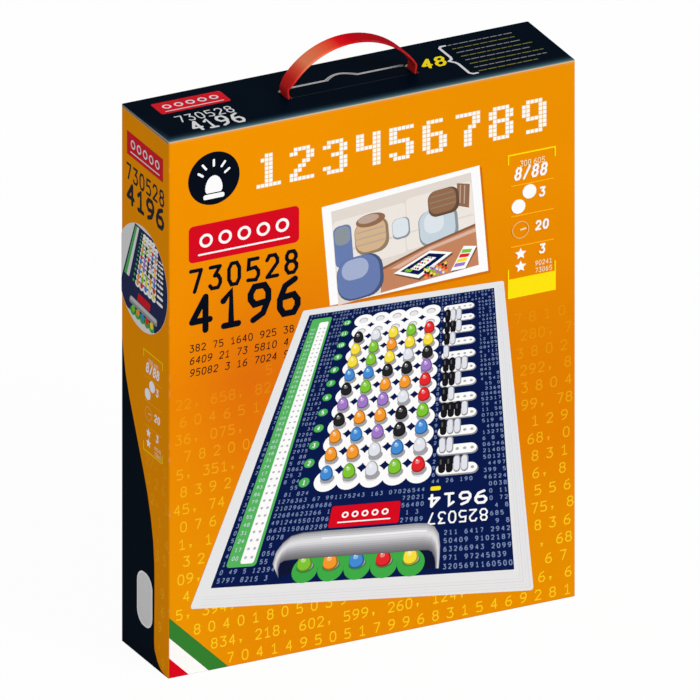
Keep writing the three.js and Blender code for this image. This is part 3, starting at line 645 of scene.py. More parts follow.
class Print:
    """Drawing for one face of a body. Each call of lay is a step higher than the one before unless rise is 0,
    and each array of a call a hair off its neighbours, so that no two shapes that cross lie in one plane.
    draw does the same once seen has mapped the shapes to their places."""
    FOOT, HEAD, STEP = -0.02, 0.02, 0.004  # millimetres off the card: an ink's back, its face at level 0, a level

    def __init__(self, side, body):
        self.side, self.body = side, body
        self.shapes, self.level, self.seen = {}, 0, lambda drawn: drawn

    def lay(self, colour, *drawn, rise=1):
        self.level += rise
        arrays = [one for given in drawn for one in (given if isinstance(given, list) else [given])]
        for place, one in enumerate(arrays):
            self.shapes.setdefault(colour, []).append((np.asarray(one, float), self.level + 0.3 * (place % 3)))

    def draw(self, colour, *drawn, rise=1):
        self.lay(colour, *map(self.seen, drawn), rise=rise)

    def draw_all(self, *rows):
        """Draws rows of a colour, a form and the numbers of each shape of that form."""
        for colour, form, *given in rows:
            self.draw(colour, *[form(*numbers) for numbers in given])

    def press(self):
        """Raises every shape from just inside the card to its own height, and makes one piece of each colour."""
        start, across, up, out = (np.array(v, float) for v in FACES[self.side])
        for colour, drawn in self.shapes.items():
            points, faces, used = [], {}, 0
            for shapes, level in drawn:
                count, corners = shapes.shape[:2]
                after = np.roll(shapes, -1, 1)
                turn = np.sum(shapes[..., 0] * after[..., 1] - shapes[..., 1] * after[..., 0], 1)
                shapes = np.where((turn < 0)[:, None, None], shapes[:, ::-1], shapes)[:, None]
                height = MM * np.array([self.FOOT, self.HEAD + self.STEP * level])[:, None, None] * out
                points.append((start + MM * (shapes[..., :1] * across + shapes[..., 1:] * up) + height).reshape(-1, 3))
                low = used + np.arange(count)[:, None] * 2 * corners + np.arange(corners)
                top = low + corners
                faces.setdefault(corners, []).extend([low[:, ::-1], top])
                faces.setdefault(4, []).append(np.stack(
                    [low, np.roll(low, -1, 1), np.roll(top, -1, 1), top], -1).reshape(-1, 4))
                used += 2 * count * corners
            finish = colour if isinstance(colour, bpy.types.Material) else ink(colour)
            piece(f"{self.side}_{finish.name}", np.concatenate(points),
                  [np.concatenate(group) for group in faces.values()], finish, self.body, smooth=False)


def through(place):
    """Lets a mapping of points take a list of arrays too."""
    return lambda drawn: [place(one) for one in drawn] if isinstance(drawn, list) else place(np.asarray(drawn, float))


def in_row(x, y, pitch, count=5):
    """Places a pitch apart, from the first to the right."""
    return np.array([(x + pitch * k, y) for k in range(count)])


def block(left, bottom, right, top):
    """A rectangle with sharp corners."""
    return shape(left, bottom, right, bottom, right, top, left, top)


def shape(*numbers):
    """One outline, from the x and y of its corners by turns."""
    return np.array(numbers, float).reshape(1, -1, 2)


def soft_block(left, bottom, right, top, radius, steps=6):
    """A rectangle whose corners are quarter circles."""
    turn = np.linspace(0, math.pi / 2, steps)
    corners = [(right - radius, bottom + radius, -math.pi / 2), (right - radius, top - radius, 0),
               (left + radius, top - radius, math.pi / 2), (left + radius, bottom + radius, math.pi)]
    return np.concatenate([np.stack([x + radius * np.cos(turn + start), y + radius * np.sin(turn + start)], -1)
                           for x, y, start in corners])[None]


def discs(centres, radius, steps=28, squash=1.0):
    """Circles: centre + radius * (cos a, squash * sin a)."""
    turn = np.linspace(0, 2 * math.pi, steps, endpoint=False)
    centres = np.asarray(centres, float).reshape(-1, 1, 2)
    reach = np.asarray(radius, float).reshape(-1, 1)
    return centres + np.stack([reach * np.cos(turn), squash * reach * np.sin(turn)], -1)


def stroke(points, width, steps=3):
    """Outlines of lines of even width through points (lines, n, 2), mitred at their bends and round at both
    ends; a line that ends where it starts becomes a ring with a seam.
    A bend's sides stand off by (m + n) / max(1 + m.n, 0.5) of half the width, m and n being the sides' normals."""
    points = np.asarray(points, float)
    half = np.asarray(width, float).reshape(-1, 1, 1) / 2
    way = np.diff(points, axis=1)
    way /= np.linalg.norm(way, axis=2, keepdims=True)
    side = np.stack([-way[..., 1], way[..., 0]], -1)
    ring = np.allclose(points[:, 0], points[:, -1])
    first, last = (side[:, -1:], side[:, :1]) if ring else (side[:, :1], side[:, -1:])
    before, after = np.concatenate([first, side], 1), np.concatenate([side, last], 1)
    off = half * (before + after) / np.maximum(1 + np.sum(before * after, -1, keepdims=True), 0.5)
    left, right = points + off, (points - off)[:, ::-1]
    if ring:
        return np.concatenate([left, right], 1)
    turn = np.linspace(0, math.pi, steps + 2)[1:-1, None]
    end = points[:, -1:] + half * (np.cos(turn) * side[:, -1:] + np.sin(turn) * way[:, -1:])
    start = points[:, :1] - half * (np.cos(turn) * side[:, :1] + np.sin(turn) * way[:, :1])
    return np.concatenate([left, end, right, start], 1)


def bars(segments, width, steps=3):
    """Round-ended bars, each from the first two of four numbers to the last two."""
    return stroke(np.asarray(segments, float).reshape(-1, 2, 2), width, steps)


def star(x, y, radius):
    """Five-pointed star whose inner corners stand at 0.48 of its reach."""
    turn = math.pi / 2 + np.arange(10) * math.pi / 5
    reach = radius * np.where(np.arange(10) % 2, 0.48, 1)
    return np.stack([x + reach * np.cos(turn), y + reach * np.sin(turn)], -1)[None]


DIGITS = {  # the x and y of each stroke's points by turns, on a square of side 1
    "0": ".25 0 .75 0 1 .25 1 .75 .75 1 .25 1 0 .75 0 .25 .25 0",
    "1": ".12 .76 .55 1 .55 0; .15 0 .95 0",
    "2": "0 .8 .22 1 .78 1 1 .8 1 .62 0 0; 0 0 1 0",
    "3": ".05 1 .98 1; .98 1 .46 .58; .46 .58 .78 .58 1 .38 1 .2 .78 0 .2 0 0 .14",
    "4": ".76 0 .76 1; .76 1 0 .3; 0 .3 1 .3",
    "5": ".95 1 .1 1 .04 .56 .72 .6 1 .4 1 .2 .76 0 0 .04",
    "6": ".85 1 .3 .84 0 .45 0 .2; 0 .2 .22 0 .78 0 1 .2 1 .36 .78 .54 .08 .5",
    "7": "0 1 1 1; 1 1 .36 0",
    "8": ".25 .54 .75 .54 .94 .7 .94 .84 .75 1 .25 1 .06 .84 .06 .7 .25 .54;"
         ".25 .54 .75 .54 1 .36 1 .2 .75 0 .25 0 0 .2 0 .36 .25 .54",
    "9": ".15 0 .7 .16 1 .55 1 .8; 1 .8 .78 1 .22 1 0 .8 0 .64 .22 .46 .92 .5",
    ",": ".3 .3 .58 .3 .42 .02",
    "/": ".1 -.05 .9 1.05",
}


def digits_at(signs, corners, wide, tall, width, slant=0.0, steps=3):
    """Digits of strokes, each wide by tall with its lower left corner given; an array for each stroke."""
    signs, corners, drawn = np.array(list(signs)), np.asarray(corners, float), []
    for sign in sorted(set(signs) & set(DIGITS)):
        start = corners[signs == sign][:, None]
        for line in DIGITS[sign].split(";"):
            place = np.array(line.split(), float).reshape(-1, 2) * [wide - width, tall - width] + width / 2
            place = place + np.outer(place[:, 1] - width / 2, [slant, 0])
            drawn.append(stroke(start + place, width, steps))
    return drawn


def figures(text, left, bottom, wide, tall, pitch, width, slant=0.0, steps=3):
    """A row of digits whose left sides are a pitch apart."""
    return digits_at(text, in_row(left, bottom, pitch, len(text)), wide, tall, width, slant, steps)


def row_numbers(marks, back, pitch, drop, *form, steps=3):
    """1, 2, 3 and so on at marks. Their signs are a pitch apart and start back for each sign before the mark."""
    signs = [(sign, (x - back * len(str(k)) + pitch * place, y - drop))
             for k, (x, y) in enumerate(marks, 1) for place, sign in enumerate(str(k))]
    return digits_at(*zip(*signs), *form, steps=steps)


def in_perspective(corners, across, up):
    """Maps a rectangle, across by up, to four corners, from the lower left round to the upper left:
    each direction is (a x + b y + c) / (g x + h y + 1), with the eight numbers solved from the corners."""
    rows, values = [], []
    for (x, y), (u, v) in zip([(0, 0), (1, 0), (1, 1), (0, 1)], corners):
        rows += [[x, y, 1, 0, 0, 0, -x * u, -y * u], [0, 0, 0, x, y, 1, -x * v, -y * v]]
        values += [u, v]
    a, b, c, d, e, k, g, h = np.linalg.solve(np.array(rows, float), np.array(values, float))

    @through
    def place(drawn):
        x, y = np.moveaxis(drawn / [across, up], -1, 0)
        under = g * x + h * y + 1
        return np.stack([(a * x + b * y + c) / under, (d * x + e * y + k) / under], -1)
    return place


def code_field(rng, left, right, top, keep):
    """Rows of digits, widely spaced and in comma-parted groups by turns; keep says which places stay bare."""
    signs, corners, foot, row_pitch, wide_pitch, group_pitch, wide, tall = [], [], 2.6, 11.25, 9.6, 5.8, 4.4, 6.8
    for row in range(int((top - foot) // row_pitch) + 1):
        start, grouped = left - rng.uniform(0, 8), row % 2
        for place in range(60):
            x, y = start + place * (group_pitch if grouped else wide_pitch), foot + row_pitch * row
            sign = "," if grouped and place % 5 == 3 else "" if grouped and place % 5 == 4 else str(rng.integers(10))
            if sign and left < x < right - wide and keep(x + wide / 2, y + tall / 2 - 0.1):
                signs.append(sign)
                corners.append((x, y))
    return digits_at(signs, corners, wide, tall, 0.78, steps=2)


PIXEL_ROWS = {
    "a": "######", "b": ".####.", "c": "##..##", "d": "##....", "e": "....##", "f": "..##..",
    "g": "...##.", "h": ".##...", "i": "#####.", "j": ".#####", "k": ".###..", "l": "..###."}
PIXELS = {  # eight rows of cells from the top
    "1": "fkfffffa", "2": "bcegfhda", "3": "bceleecb", "4": "cccaeeee", "5": "addieecb",
    "6": "bddicccb", "7": "aeegffff", "8": "bccbcccb", "9": "bcccjeeb"}


def pixel_cells(text, left, bottom, cell):
    """Lower left corners of the cells of a row of blocky digits, six cells wide and two apart."""
    return np.array([(left + (8 * place + column) * cell, bottom + (7 - row) * cell)
                     for place, sign in enumerate(text) for row, code in enumerate(PIXELS[sign])
                     for column, mark in enumerate(PIXEL_ROWS[code]) if mark == "#"])


def squares(corners, start, end):
    """Squares from start to end in both directions beyond each corner."""
    return corners[:, None] + block(start, start, end, end)


def ring_row(sheet, colour, x, y, pitch, radii, steps, rule, width):
    """Five rings in a row over a rule, on a red plate."""
    row = in_row(x, y, pitch)
    sheet.draw(colour, discs(row, radii[0], steps[0]), bars(rule, width))
    sheet.draw("red", discs(row, radii[1], steps[1]))


# The printed board, in hundredths of its width

PEG_INKS = np.array(["orange", "ruby", "sun", "coal", "violet", "leaf", "blue", "pearl"])
CODE_INKS = np.array(["leaf", "orange", "blue", "ruby", "sun"])
PITCH = 8.05
COLUMNS = 33.8 + PITCH * np.arange(5)
ROWS = 41.2 + PITCH * np.arange(12)
ROW, COLUMN = np.divmod(np.arange(60), 5)
HOLES = np.stack([COLUMNS[COLUMN], ROWS[ROW]], -1)


def eggs(feet, width, share=1.0, shift=(0, 0)):
    """Egg outlines standing on feet: half width * cos a (1 - 0.05 sin a), and 0.44 or 0.7 of the width * sin a."""
    turn = np.linspace(0, 2 * math.pi, 22, endpoint=False)
    high = np.sin(turn)
    form = np.stack([0.5 * np.cos(turn) * (1 - 0.05 * high), np.where(high > 0, 0.7, 0.44) * high], -1)
    width = np.reshape(width, (-1, 1, 1))
    return np.reshape(feet, (-1, 1, 2)) + [0, 0.42] * width + width * (share * form + shift)


def stand_pegs(sheet, feet, width, colours):
    """Pegs seen from in front: a dark rim, and a smaller body on it."""
    for rise, tone, *form in ((0, "-"), (1, "", 0.86, (-0.035, 0.045))):
        sheet.level += rise
        for colour in sorted(set(colours)):
            chosen = colours == colour
            sheet.lay(colour + tone, eggs(feet[chosen], width[chosen], *form), rise=0)


def light_pegs(sheet, feet, width, colours):
    """A light and a white shine near each peg's top."""
    sheet.level += 1
    for colour in sorted(set(colours)):
        chosen = colours == colour
        lit = feet[chosen] + np.outer(width[chosen], [-0.06, 0.72])
        sheet.lay(colour + "+", discs(lit, 0.17 * width[chosen], 12, 0.85), rise=0)
    sheet.lay("white", discs(feet + np.outer(width, [-0.1, 0.84]), 0.06 * width, 8))


def joined_discs(sheet, steps):
    """The lattice's white discs, in four turns, so that none lies in one plane with a disc that it crosses."""
    for a, b in ((0, 0), (0, 1), (1, 0), (1, 1)):
        sheet.draw("white", discs(HOLES[(ROW % 2 == a) & (COLUMN % 2 == b)], 0.56 * PITCH, steps))


def printed_lattice(sheet, rng, pegged_rows):
    """Joined white discs with a hole in each, and pegs in the near rows."""
    joined_discs(sheet, 26)
    sheet.draw(176, discs(HOLES, 2.1, 18))
    sheet.draw("pale", discs(HOLES + [0, -0.35], 1.75, 18))
    feet = sheet.seen(HOLES)
    width = 4.7 * np.linalg.norm(sheet.seen(HOLES + [1, 0]) - feet, axis=1)
    pegs = ROW < pegged_rows
    sheet.lay(160, discs((feet + np.outer(width, [0.06, 0.1]))[pegs], 0.56 * width[pegs], 16, 0.62))
    colours = PEG_INKS[rng.permutation(np.tile(np.arange(8), 8))[:60]]
    for row in range(pegged_rows - 1, -1, -1):
        here = ROW == row
        sheet.level += 1
        stand_pegs(sheet, feet[here], width[here], colours[here])
    light_pegs(sheet, feet[pegs], width[pegs], colours[pegs])


def printed_answers(sheet, rng):
    """White answer bars with five holes each, and dark and pale pins standing in all but the last."""
    ends = np.array([(73.9, y, 83.7, y) for y in ROWS])
    sheet.draw(150, bars(ends + [0, -0.5, 0.3, -0.5], 4.2, 6))
    sheet.draw("white", bars(ends, 4.0, 6))
    holes = np.stack([73.9 + 2.55 * COLUMN, ROWS[ROW]], -1)
    sheet.draw(170, discs(holes, 0.62, 10))
    dark, pale = rng.integers(0, 4, 12)[ROW], rng.integers(1, 3, 12)[ROW]
    for chosen, colour, light, inset, width in (
            (COLUMN < dark, "black", 84, [-0.35, 2.0, -0.35, -0.1], 0.6),
            ((COLUMN >= dark) & (COLUMN < dark + pale), 150, "pearl", [-0.15, 0.3, -0.15, -0.1], 1.9)):
        pins = holes[chosen & (ROW < 11)]
        foot = sheet.seen(pins)
        size = np.linalg.norm(sheet.seen(pins + [1, 0]) - foot, axis=1)[:, None]
        line = np.concatenate([foot, foot + size * [0, 3.2]], 1)
        sheet.lay(colour, bars(line, 2.4 * size, 5))
        sheet.lay(light, bars(line + size * inset, width * size, 4))


def printed_strip(sheet):
    """Green band with small numbers beside a white strip with two columns of holes."""
    sheet.draw("green", soft_block(7, 12, 17, 136.4, 1.2))
    sheet.draw("white", soft_block(11.4, 13, 16, 133, 0.9))
    levels = np.arange(15, 131, 2.9)
    sheet.draw(178, discs([(x, y) for y in levels for x in (12.7, 14.8)], 0.5, 8))
    signs = "".join(f"{k % 10}{(k * 7) % 10}" for k in range(len(levels)))
    corners = [(8.1 + 1.25 * k, y - 0.8) for y in levels for k in range(2)]
    sheet.draw("mist", digits_at(signs, corners, 0.9, 1.4, 0.22, steps=0))


def printed_specks(sheet, rng, bare):
    """Fine pale digits all over the navy field, except where something else lies."""
    spots = np.array([(5.6 + 1.55 * column, 7.2 + 2.62 * row) for row in range(51) for column in range(58)])
    x, y = (spots + [0.5, 0.8]).T
    keep = (spots[:, 0] < 94) & (rng.uniform(size=len(spots)) < 0.86)
    for left, bottom, right, top in bare:
        keep &= ~((x > left) & (x < right) & (y > bottom) & (y < top))
    signs = rng.choice(list("0123456789"), keep.sum())
    sheet.draw("speck", digits_at(signs, spots[keep], 1.0, 1.6, 0.28, steps=0))


COVER_TOP = shape(68.2, 60.0, 70.5, 67.2, 75.2, 72.3, 80.6, 75.5, 88.3, 76.1, 100.8, 74.8, 122.5, 72.0, 145.7, 69.2,
                  162.8, 67.3, 169.8, 65.9, 174.4, 62.9, 177.1, 58.1, 178.0, 50.3, 177.7, 42.7, 177.1, 35.6)
COVER_LIP = shape(72.0, 50.1, 71.7, 56.0, 73.0, 59.8, 76.0, 60.9, 82.0, 60.5, 100.8, 58.1, 122.5, 55.2, 145.7, 52.1,
                  160.0, 50.4, 166.0, 49.7, 170.4, 48.9, 172.8, 47.2, 174.3, 43.4, 174.8, 39.5, 174.9, 36.0)
COVER_TONES = (158, 182, 202, 218, 222, 210, 190, 172, 154, 138, 124, 112)


def printed_cover(sheet):
    """Silver loaf over the code row: bands of grey between its top line and its lip."""
    top, lip = COVER_TOP + [-0.4, 0.7], COVER_LIP + [-0.4, 0.7]
    for band, tone in enumerate(COVER_TONES):
        upper, lower = ((top + (lip - top) * share / len(COVER_TONES))[0] for share in (band, band + 1))
        sheet.lay(tone, np.stack([upper[:-1], upper[1:], lower[1:], lower[:-1]], 1), rise=0)
    sheet.lay(238, stroke((top * 0.72 + lip * 0.28)[:, 5:10], 1.3))
    sheet.lay(96, stroke(lip[:, 2:13], 0.5), stroke(top[:, 2:6], 0.5))


def board_picture(sheet, rng):
    """White-edged navy game board in perspective: peg lattice, row numbers, answer bars, counter strip, a red
    plate, two rows of digits and the silver cover over the code row."""
    seen = sheet.seen = in_perspective([(13.6, 42.4), (239.1, 9.7), (219.4, 212.6), (88.0, 219.4)], 100, 145)
    sheet.draw("pale", soft_block(0, 0, 100, 145, 1.0))
    for inset, tone in ((0.9, 219), (1.7, 223), (2.5, 218), (3.3, 222)):
        sheet.draw(tone, stroke([[(3, inset), (100 - inset, inset), (100 - inset, 142)]], 0.22, 0))
    sheet.draw("field", soft_block(4.4, 5.9, 95.3, 140.4, 0.3))
    printed_specks(sheet, rng, [
        (6.4, 11, 17.6, 137.4), (23.4, 38.6, 28.2, 133), (29, 36.4, 71.2, 134.6), (71.2, 38.6, 86.8, 133),
        (37.2, 22, 61.8, 31.6), (69, 21, 89.5, 35.4), (24, 4, 75.4, 21.5)])
    marks = np.array([(25.7, y) for y in ROWS])
    sheet.draw("grass", discs(marks, 2.0, 12))
    sheet.draw("green", discs(marks, 1.75, 12))
    sheet.draw("white", row_numbers(marks, 0.62, 1.25, 1, 1.1, 2.0, 0.34, steps=0))
    printed_strip(sheet)
    printed_lattice(sheet, rng, 10)
    printed_answers(sheet, rng)
    sheet.draw("red", soft_block(38, 23, 61, 30.7, 0.8))
    ring_row(sheet, "white", 43, 27.3, 3.3, (1.15, 0.6), (16, 12), [41, 24.7, 58, 24.7], 0.45)
    about = in_perspective(seen([np.array([(158.6, 54), (58.6, 54), (58.6, -91), (158.6, -91)])])[0], 100, 145)
    sheet.lay("white", about(figures("9614", 70, 21.8, 4.0, 5.0, 4.9, 0.85)),
              about(figures("825037", 70, 28.4, 2.5, 4.2, 3.2, 0.5)))
    sheet.draw("yellow", soft_block(70.5, 33.4, 73.8, 34.9, 0.5))
    sheet.lay("deep", shape(73.5, 60.5, 169, 49.5, 174.5, 44, 174.6, 37, 166, 38, 160, 44, 90, 54, 76, 52, 72.4, 51))
    scallops = in_row(33.5, 9.9, 8.1)
    sheet.draw("grass", discs(scallops, 4.1, 26))
    sheet.draw("grass", block(31.5, 10.5, 68, 15.5))
    feet, width = seen(scallops + [0, -0.6]), np.full(5, 10.1)
    sheet.lay("green-", discs(feet + [0.5, 2.6], 5.9, 20, 0.6))
    sheet.lay(170, discs(feet + [0.4, 3.2], 5.2, 20, 0.6))
    sheet.level += 1
    stand_pegs(sheet, feet, width, CODE_INKS)
    light_pegs(sheet, feet, width, CODE_INKS)
    sheet.level += 1
    printed_cover(sheet)


def scatter(sheet, spots, radius, *colours):
    """Small discs on spots, in each colour by turns."""
    for k, colour in enumerate(colours):
        sheet.draw(colour, discs(spots[k::len(colours)], radius, 10), rise=int(k == 0))


def snapshot(sheet):
    """White-bordered photograph on a slant: a low table with a game on it before a pale sofa with cushions
    and two woven baskets, as plain shapes with a light and a dark side."""
    sheet.lay("dusk", shape(108.2, 217.4, 211.0, 219.4, 205.2, 288.0, 203.0, 289.6))
    sheet.lay("white", shape(105.6, 219.1, 209.4, 221.1, 203.6, 289.9, 100.1, 283.5))
    sheet.seen = in_perspective([(111.1, 218.3), (203.3, 225.9), (198, 286.5), (106.3, 279.4)], 100, 68)
    sheet.draw_all(
        ("wall", block, (0, 0, 100, 68)),
        ("sofa", soft_block, (0.3, 34, 52, 60, 3), (52.6, 33, 99.7, 62, 3)),
        ("wall", soft_block, (0.3, 24, 99.6, 38, 2)),
        ("sofa", soft_block, (0.3, 24, 50, 36.4, 2), (50.8, 25, 99.6, 36.8, 2)),
        ("bark", shape, (88, 47, 96.5, 43, 98.5, 60, 89.5, 63)),
        ("bark+", bars, ([90.5, 48.6, 91.8, 60.6, 93.4, 47.2, 94.8, 59.8], 0.9)),
        ("mist-", soft_block, (60, 23, 88, 49, 8)), ("mist", soft_block, (60.6, 24.5, 86, 49, 8)),
        ("mist+", soft_block, (64, 32, 78, 47, 6)), ("mist-", soft_block, (41.6, 34.6, 54, 49.6, 4)),
        ("mist+", soft_block, (41.8, 36, 53, 49.4, 4)), ("denim", soft_block, (0.3, 26, 13, 56, 4)),
        ("mist-", soft_block, (1, 42, 12, 55, 4)), ("bark-", soft_block, (68, 43, 90, 62, 6)),
        ("bark", soft_block, (68.4, 45, 88, 62, 6)),
        ("straw-", bars, ([70, 50, 87, 50, 69.6, 54, 87.4, 54, 71, 58, 86, 58], 1.1)),
        ("straw-", soft_block, (15, 30, 39, 55, 8)), ("straw", soft_block, (15.4, 32, 37, 55, 8)),
        ("bark+", bars, ([16.6, 38, 36, 38, 16, 42.6, 36.6, 42.6, 16.8, 47.2, 35.8, 47.2], 1.1)),
        ("bark", discs, ([27, 54.2], 10.4, 30, 0.44)), ("bark+", discs, ([25.6, 55.4], 7.4, 30, 0.4)),
        ("wood-", shape, (30, 0.3, 99.8, 0.3, 99.8, 30.4, 66, 25.4, 33, 18)),
        ("wood", shape, (30, 0.3, 99.8, 0.3, 99.8, 28.6, 66, 23.8, 33, 16.2)),
        ("wood+", shape, (44, 14, 64, 20.4, 99.8, 24.6, 99.8, 27.2, 66, 22.8, 38, 15.2)),
        ("denim-", soft_block, (0.4, 0.3, 33, 31, 11)), ("denim", soft_block, (0.6, 1.6, 30.6, 31, 11)),
        ("denim+", soft_block, (4, 15, 23, 29.6, 7)),
        ("bark-", shape, (40.4, 10.2, 57.6, 1.4, 83, 13.4, 66, 19.6)),
        ("white", shape, (40, 11.4, 57, 3, 82, 14.6, 66.4, 20.4)),
        ("field", shape, (44.6, 11.4, 57.2, 5.4, 77.6, 14.6, 65.8, 18.6)),
        ("white", shape, (51.6, 11.2, 57.6, 8.4, 70.6, 14.2, 64.8, 16.6)))
    dots = np.array([(54 + 2.5 * a + 1.55 * b, 11.4 + 1.25 * a - 0.72 * b) for a in range(5) for b in range(3)])
    scatter(sheet, dots, 0.72, "sun", "ruby", "coal", "leaf", "violet")
    sheet.draw_all(
        ("leaf", shape, (47.4, 10.8, 51.4, 8.9, 53.6, 10, 49.4, 12)),
        ("bark-", shape, (80.4, 0.5, 90.8, 0.4, 99.8, 12.8, 91, 15.6)),
        ("white", shape, (79.8, 1.6, 90.2, 0.5, 99.4, 14.2, 90.4, 16.8)))
    near, far = np.array([(80.6, 1.6), (88.2, 1.0)]), np.array([(90.6, 16.0), (97.0, 14.4)])
    for k, colour in enumerate(("violet", "sun", "ruby", "leaf")):
        low, high = (near + (far - near) * (start + 0.2 * k) for start in (0.14, 0.3))
        sheet.draw(colour, shape(*low[0], *low[1], *high[1], *high[0]), rise=int(k == 0))
    heap = np.array([(62 + 2.1 * (k % 8), 2.2 + 1.9 * (k // 8) + 0.5 * (k % 2)) for k in range(32)])
    scatter(sheet, heap, 0.95, "orange", "ruby", "coal", "sun", "leaf", "violet", "pearl")


def info_column(sheet, left, top, scale, closed=False):
    """Column of plain signs and numbers between yellow brackets: discs, a clock, stars and rules.
    All places are given for a column 30.6 wide, then scaled and moved so that it hangs from its top left."""
    sheet.seen = through(lambda drawn: drawn * scale + [left, top])
    sheet.draw("yellow", stroke([[(0, -6), (0, 0), (30.6, 0), (30.6, -6)]], 0.8, 0),
               bars([0, -80, 0, -73.5, 30.6, -80, 30.6, -73.5], 0.8))
    if closed:
        sheet.draw("yellow", bars([0, -80, 30.6, -80], 0.8))
    sheet.draw("gold", bars([(1.8, -y, 29.5, -y) for y in (20, 39.6, 59.2)], 0.5))
    sheet.draw_all(("cream", figures, ("308", 7.4, -8.4, 2.1, 3.6, 2.6, 0.4, 0.1),
                    ("605", 16.4, -8.4, 2.1, 3.6, 2.6, 0.4, 0.1), ("90241", 17.4, -74.0, 1.8, 3.0, 2.3, 0.36, 0.1),
                    ("73865", 17.4, -78.6, 1.8, 3.0, 2.3, 0.36, 0.1)))
    sheet.draw("white", figures("8/88", 3.6, -16.8, 4.5, 8.2, 5.6, 1.35, 0.18),
               figures("3", 20.0, -30.2, 3.9, 6.2, 5, 1.15, 0.1), figures("20", 17.4, -51.4, 3.9, 6.2, 4.9, 1.15, 0.1),
               figures("3", 20.0, -66.8, 3.9, 6.2, 5, 1.15, 0.1), discs([13.8, -25.4], 4.5),
               discs([6.6, -33.8], 4.5), star(8, -64.4, 3.8), star(8, -72.6, 3.8))
    rim = discs([8, -49], 5.3, 24)
    sheet.draw("tan", stroke(np.concatenate([rim, rim[:, :1]], 1), 0.5))
    sheet.draw("cream", bars([8, -49, 11.4, -48.6], 0.8))


# The drawings of each face

def front_print():
    """The front's drawings: code digits on the ground, a badge with a peg, blocky digits, a red plate, large and
    small digits, the snapshot, the printed board and a column of signs."""
    sheet, rng = Print("front", "carton"), np.random.default_rng(11)

    def keep(x, y):
        over_board = 11.6 + (y - 42) * 0.42 < x < 243 - (y - 9) * 0.094 and y > 44 - (x - 14.6) * 0.147
        return x + y > 46 and not over_board and (x > 60 or y < 178)

    sheet.lay(code_ink("front_code_ink", front_ground, 0.9), code_field(rng, 0.8, WIDE - 0.8, 190, keep))
    sheet.lay("navy", discs([29.5, 316.3], 16.9, 56))
    sheet.lay("white", soft_block(22.6, 303.3, 36.4, 306.4, 1.2), eggs([29.5, 305.4], 11.4),
              bars([19.4, 320.8, 22.2, 318.8, 22.2, 325.8, 24.4, 323, 29.5, 328, 29.5, 324.4,
                    36.8, 325.8, 34.6, 323, 39.6, 320.8, 36.8, 318.8], 1.5))
    sheet.lay("navy", bars([24.8, 306.8, 34.2, 306.8], 0.7))
    cell = 2.72
    cells = pixel_cells("123456789", 57.3, 303.6, cell)
    sheet.lay("tan", squares(cells, 0, cell))
    sheet.lay("white", squares(cells, 0.26, cell - 0.26))
    sheet.lay("red", soft_block(13.0, 264.3, 85.4, 287.8, 3))
    ring_row(sheet, "white", 24.4, 277.2, 12.5, (4.4, 2.7), (32, 28), [19.6, 268.7, 78.8, 268.7], 1.1)
    for text, level, *form in (("730528", 244.4, 9.2, 15.9, 12.5, 2.4, 0, 5),
                               ("4196", 217.9, 15.6, 25.2, 19.2, 4.0, 0, 6)):
        sheet.lay("navy", figures(text, 13.2, level, *form))
    for text, level, slant in (("382 75 1640 925 38", 207.0, 0.0), ("6409 21 73 5810 4", 199.2, 0.15),
                               ("95082 3 16 7024 9", 191.4, 0.15)):
        sheet.lay("navy", figures(text, 13.6, level, 2.9, 4.8, 3.85, 0.55, slant, 2))
    snapshot(sheet)
    board_picture(sheet, rng)
    info_column(sheet, 222.4, 292.2, 1.0)
    sheet.lay("yellow", soft_block(222.0, 200.2, 253.4, 212.5, 0.3))
    sheet.press()


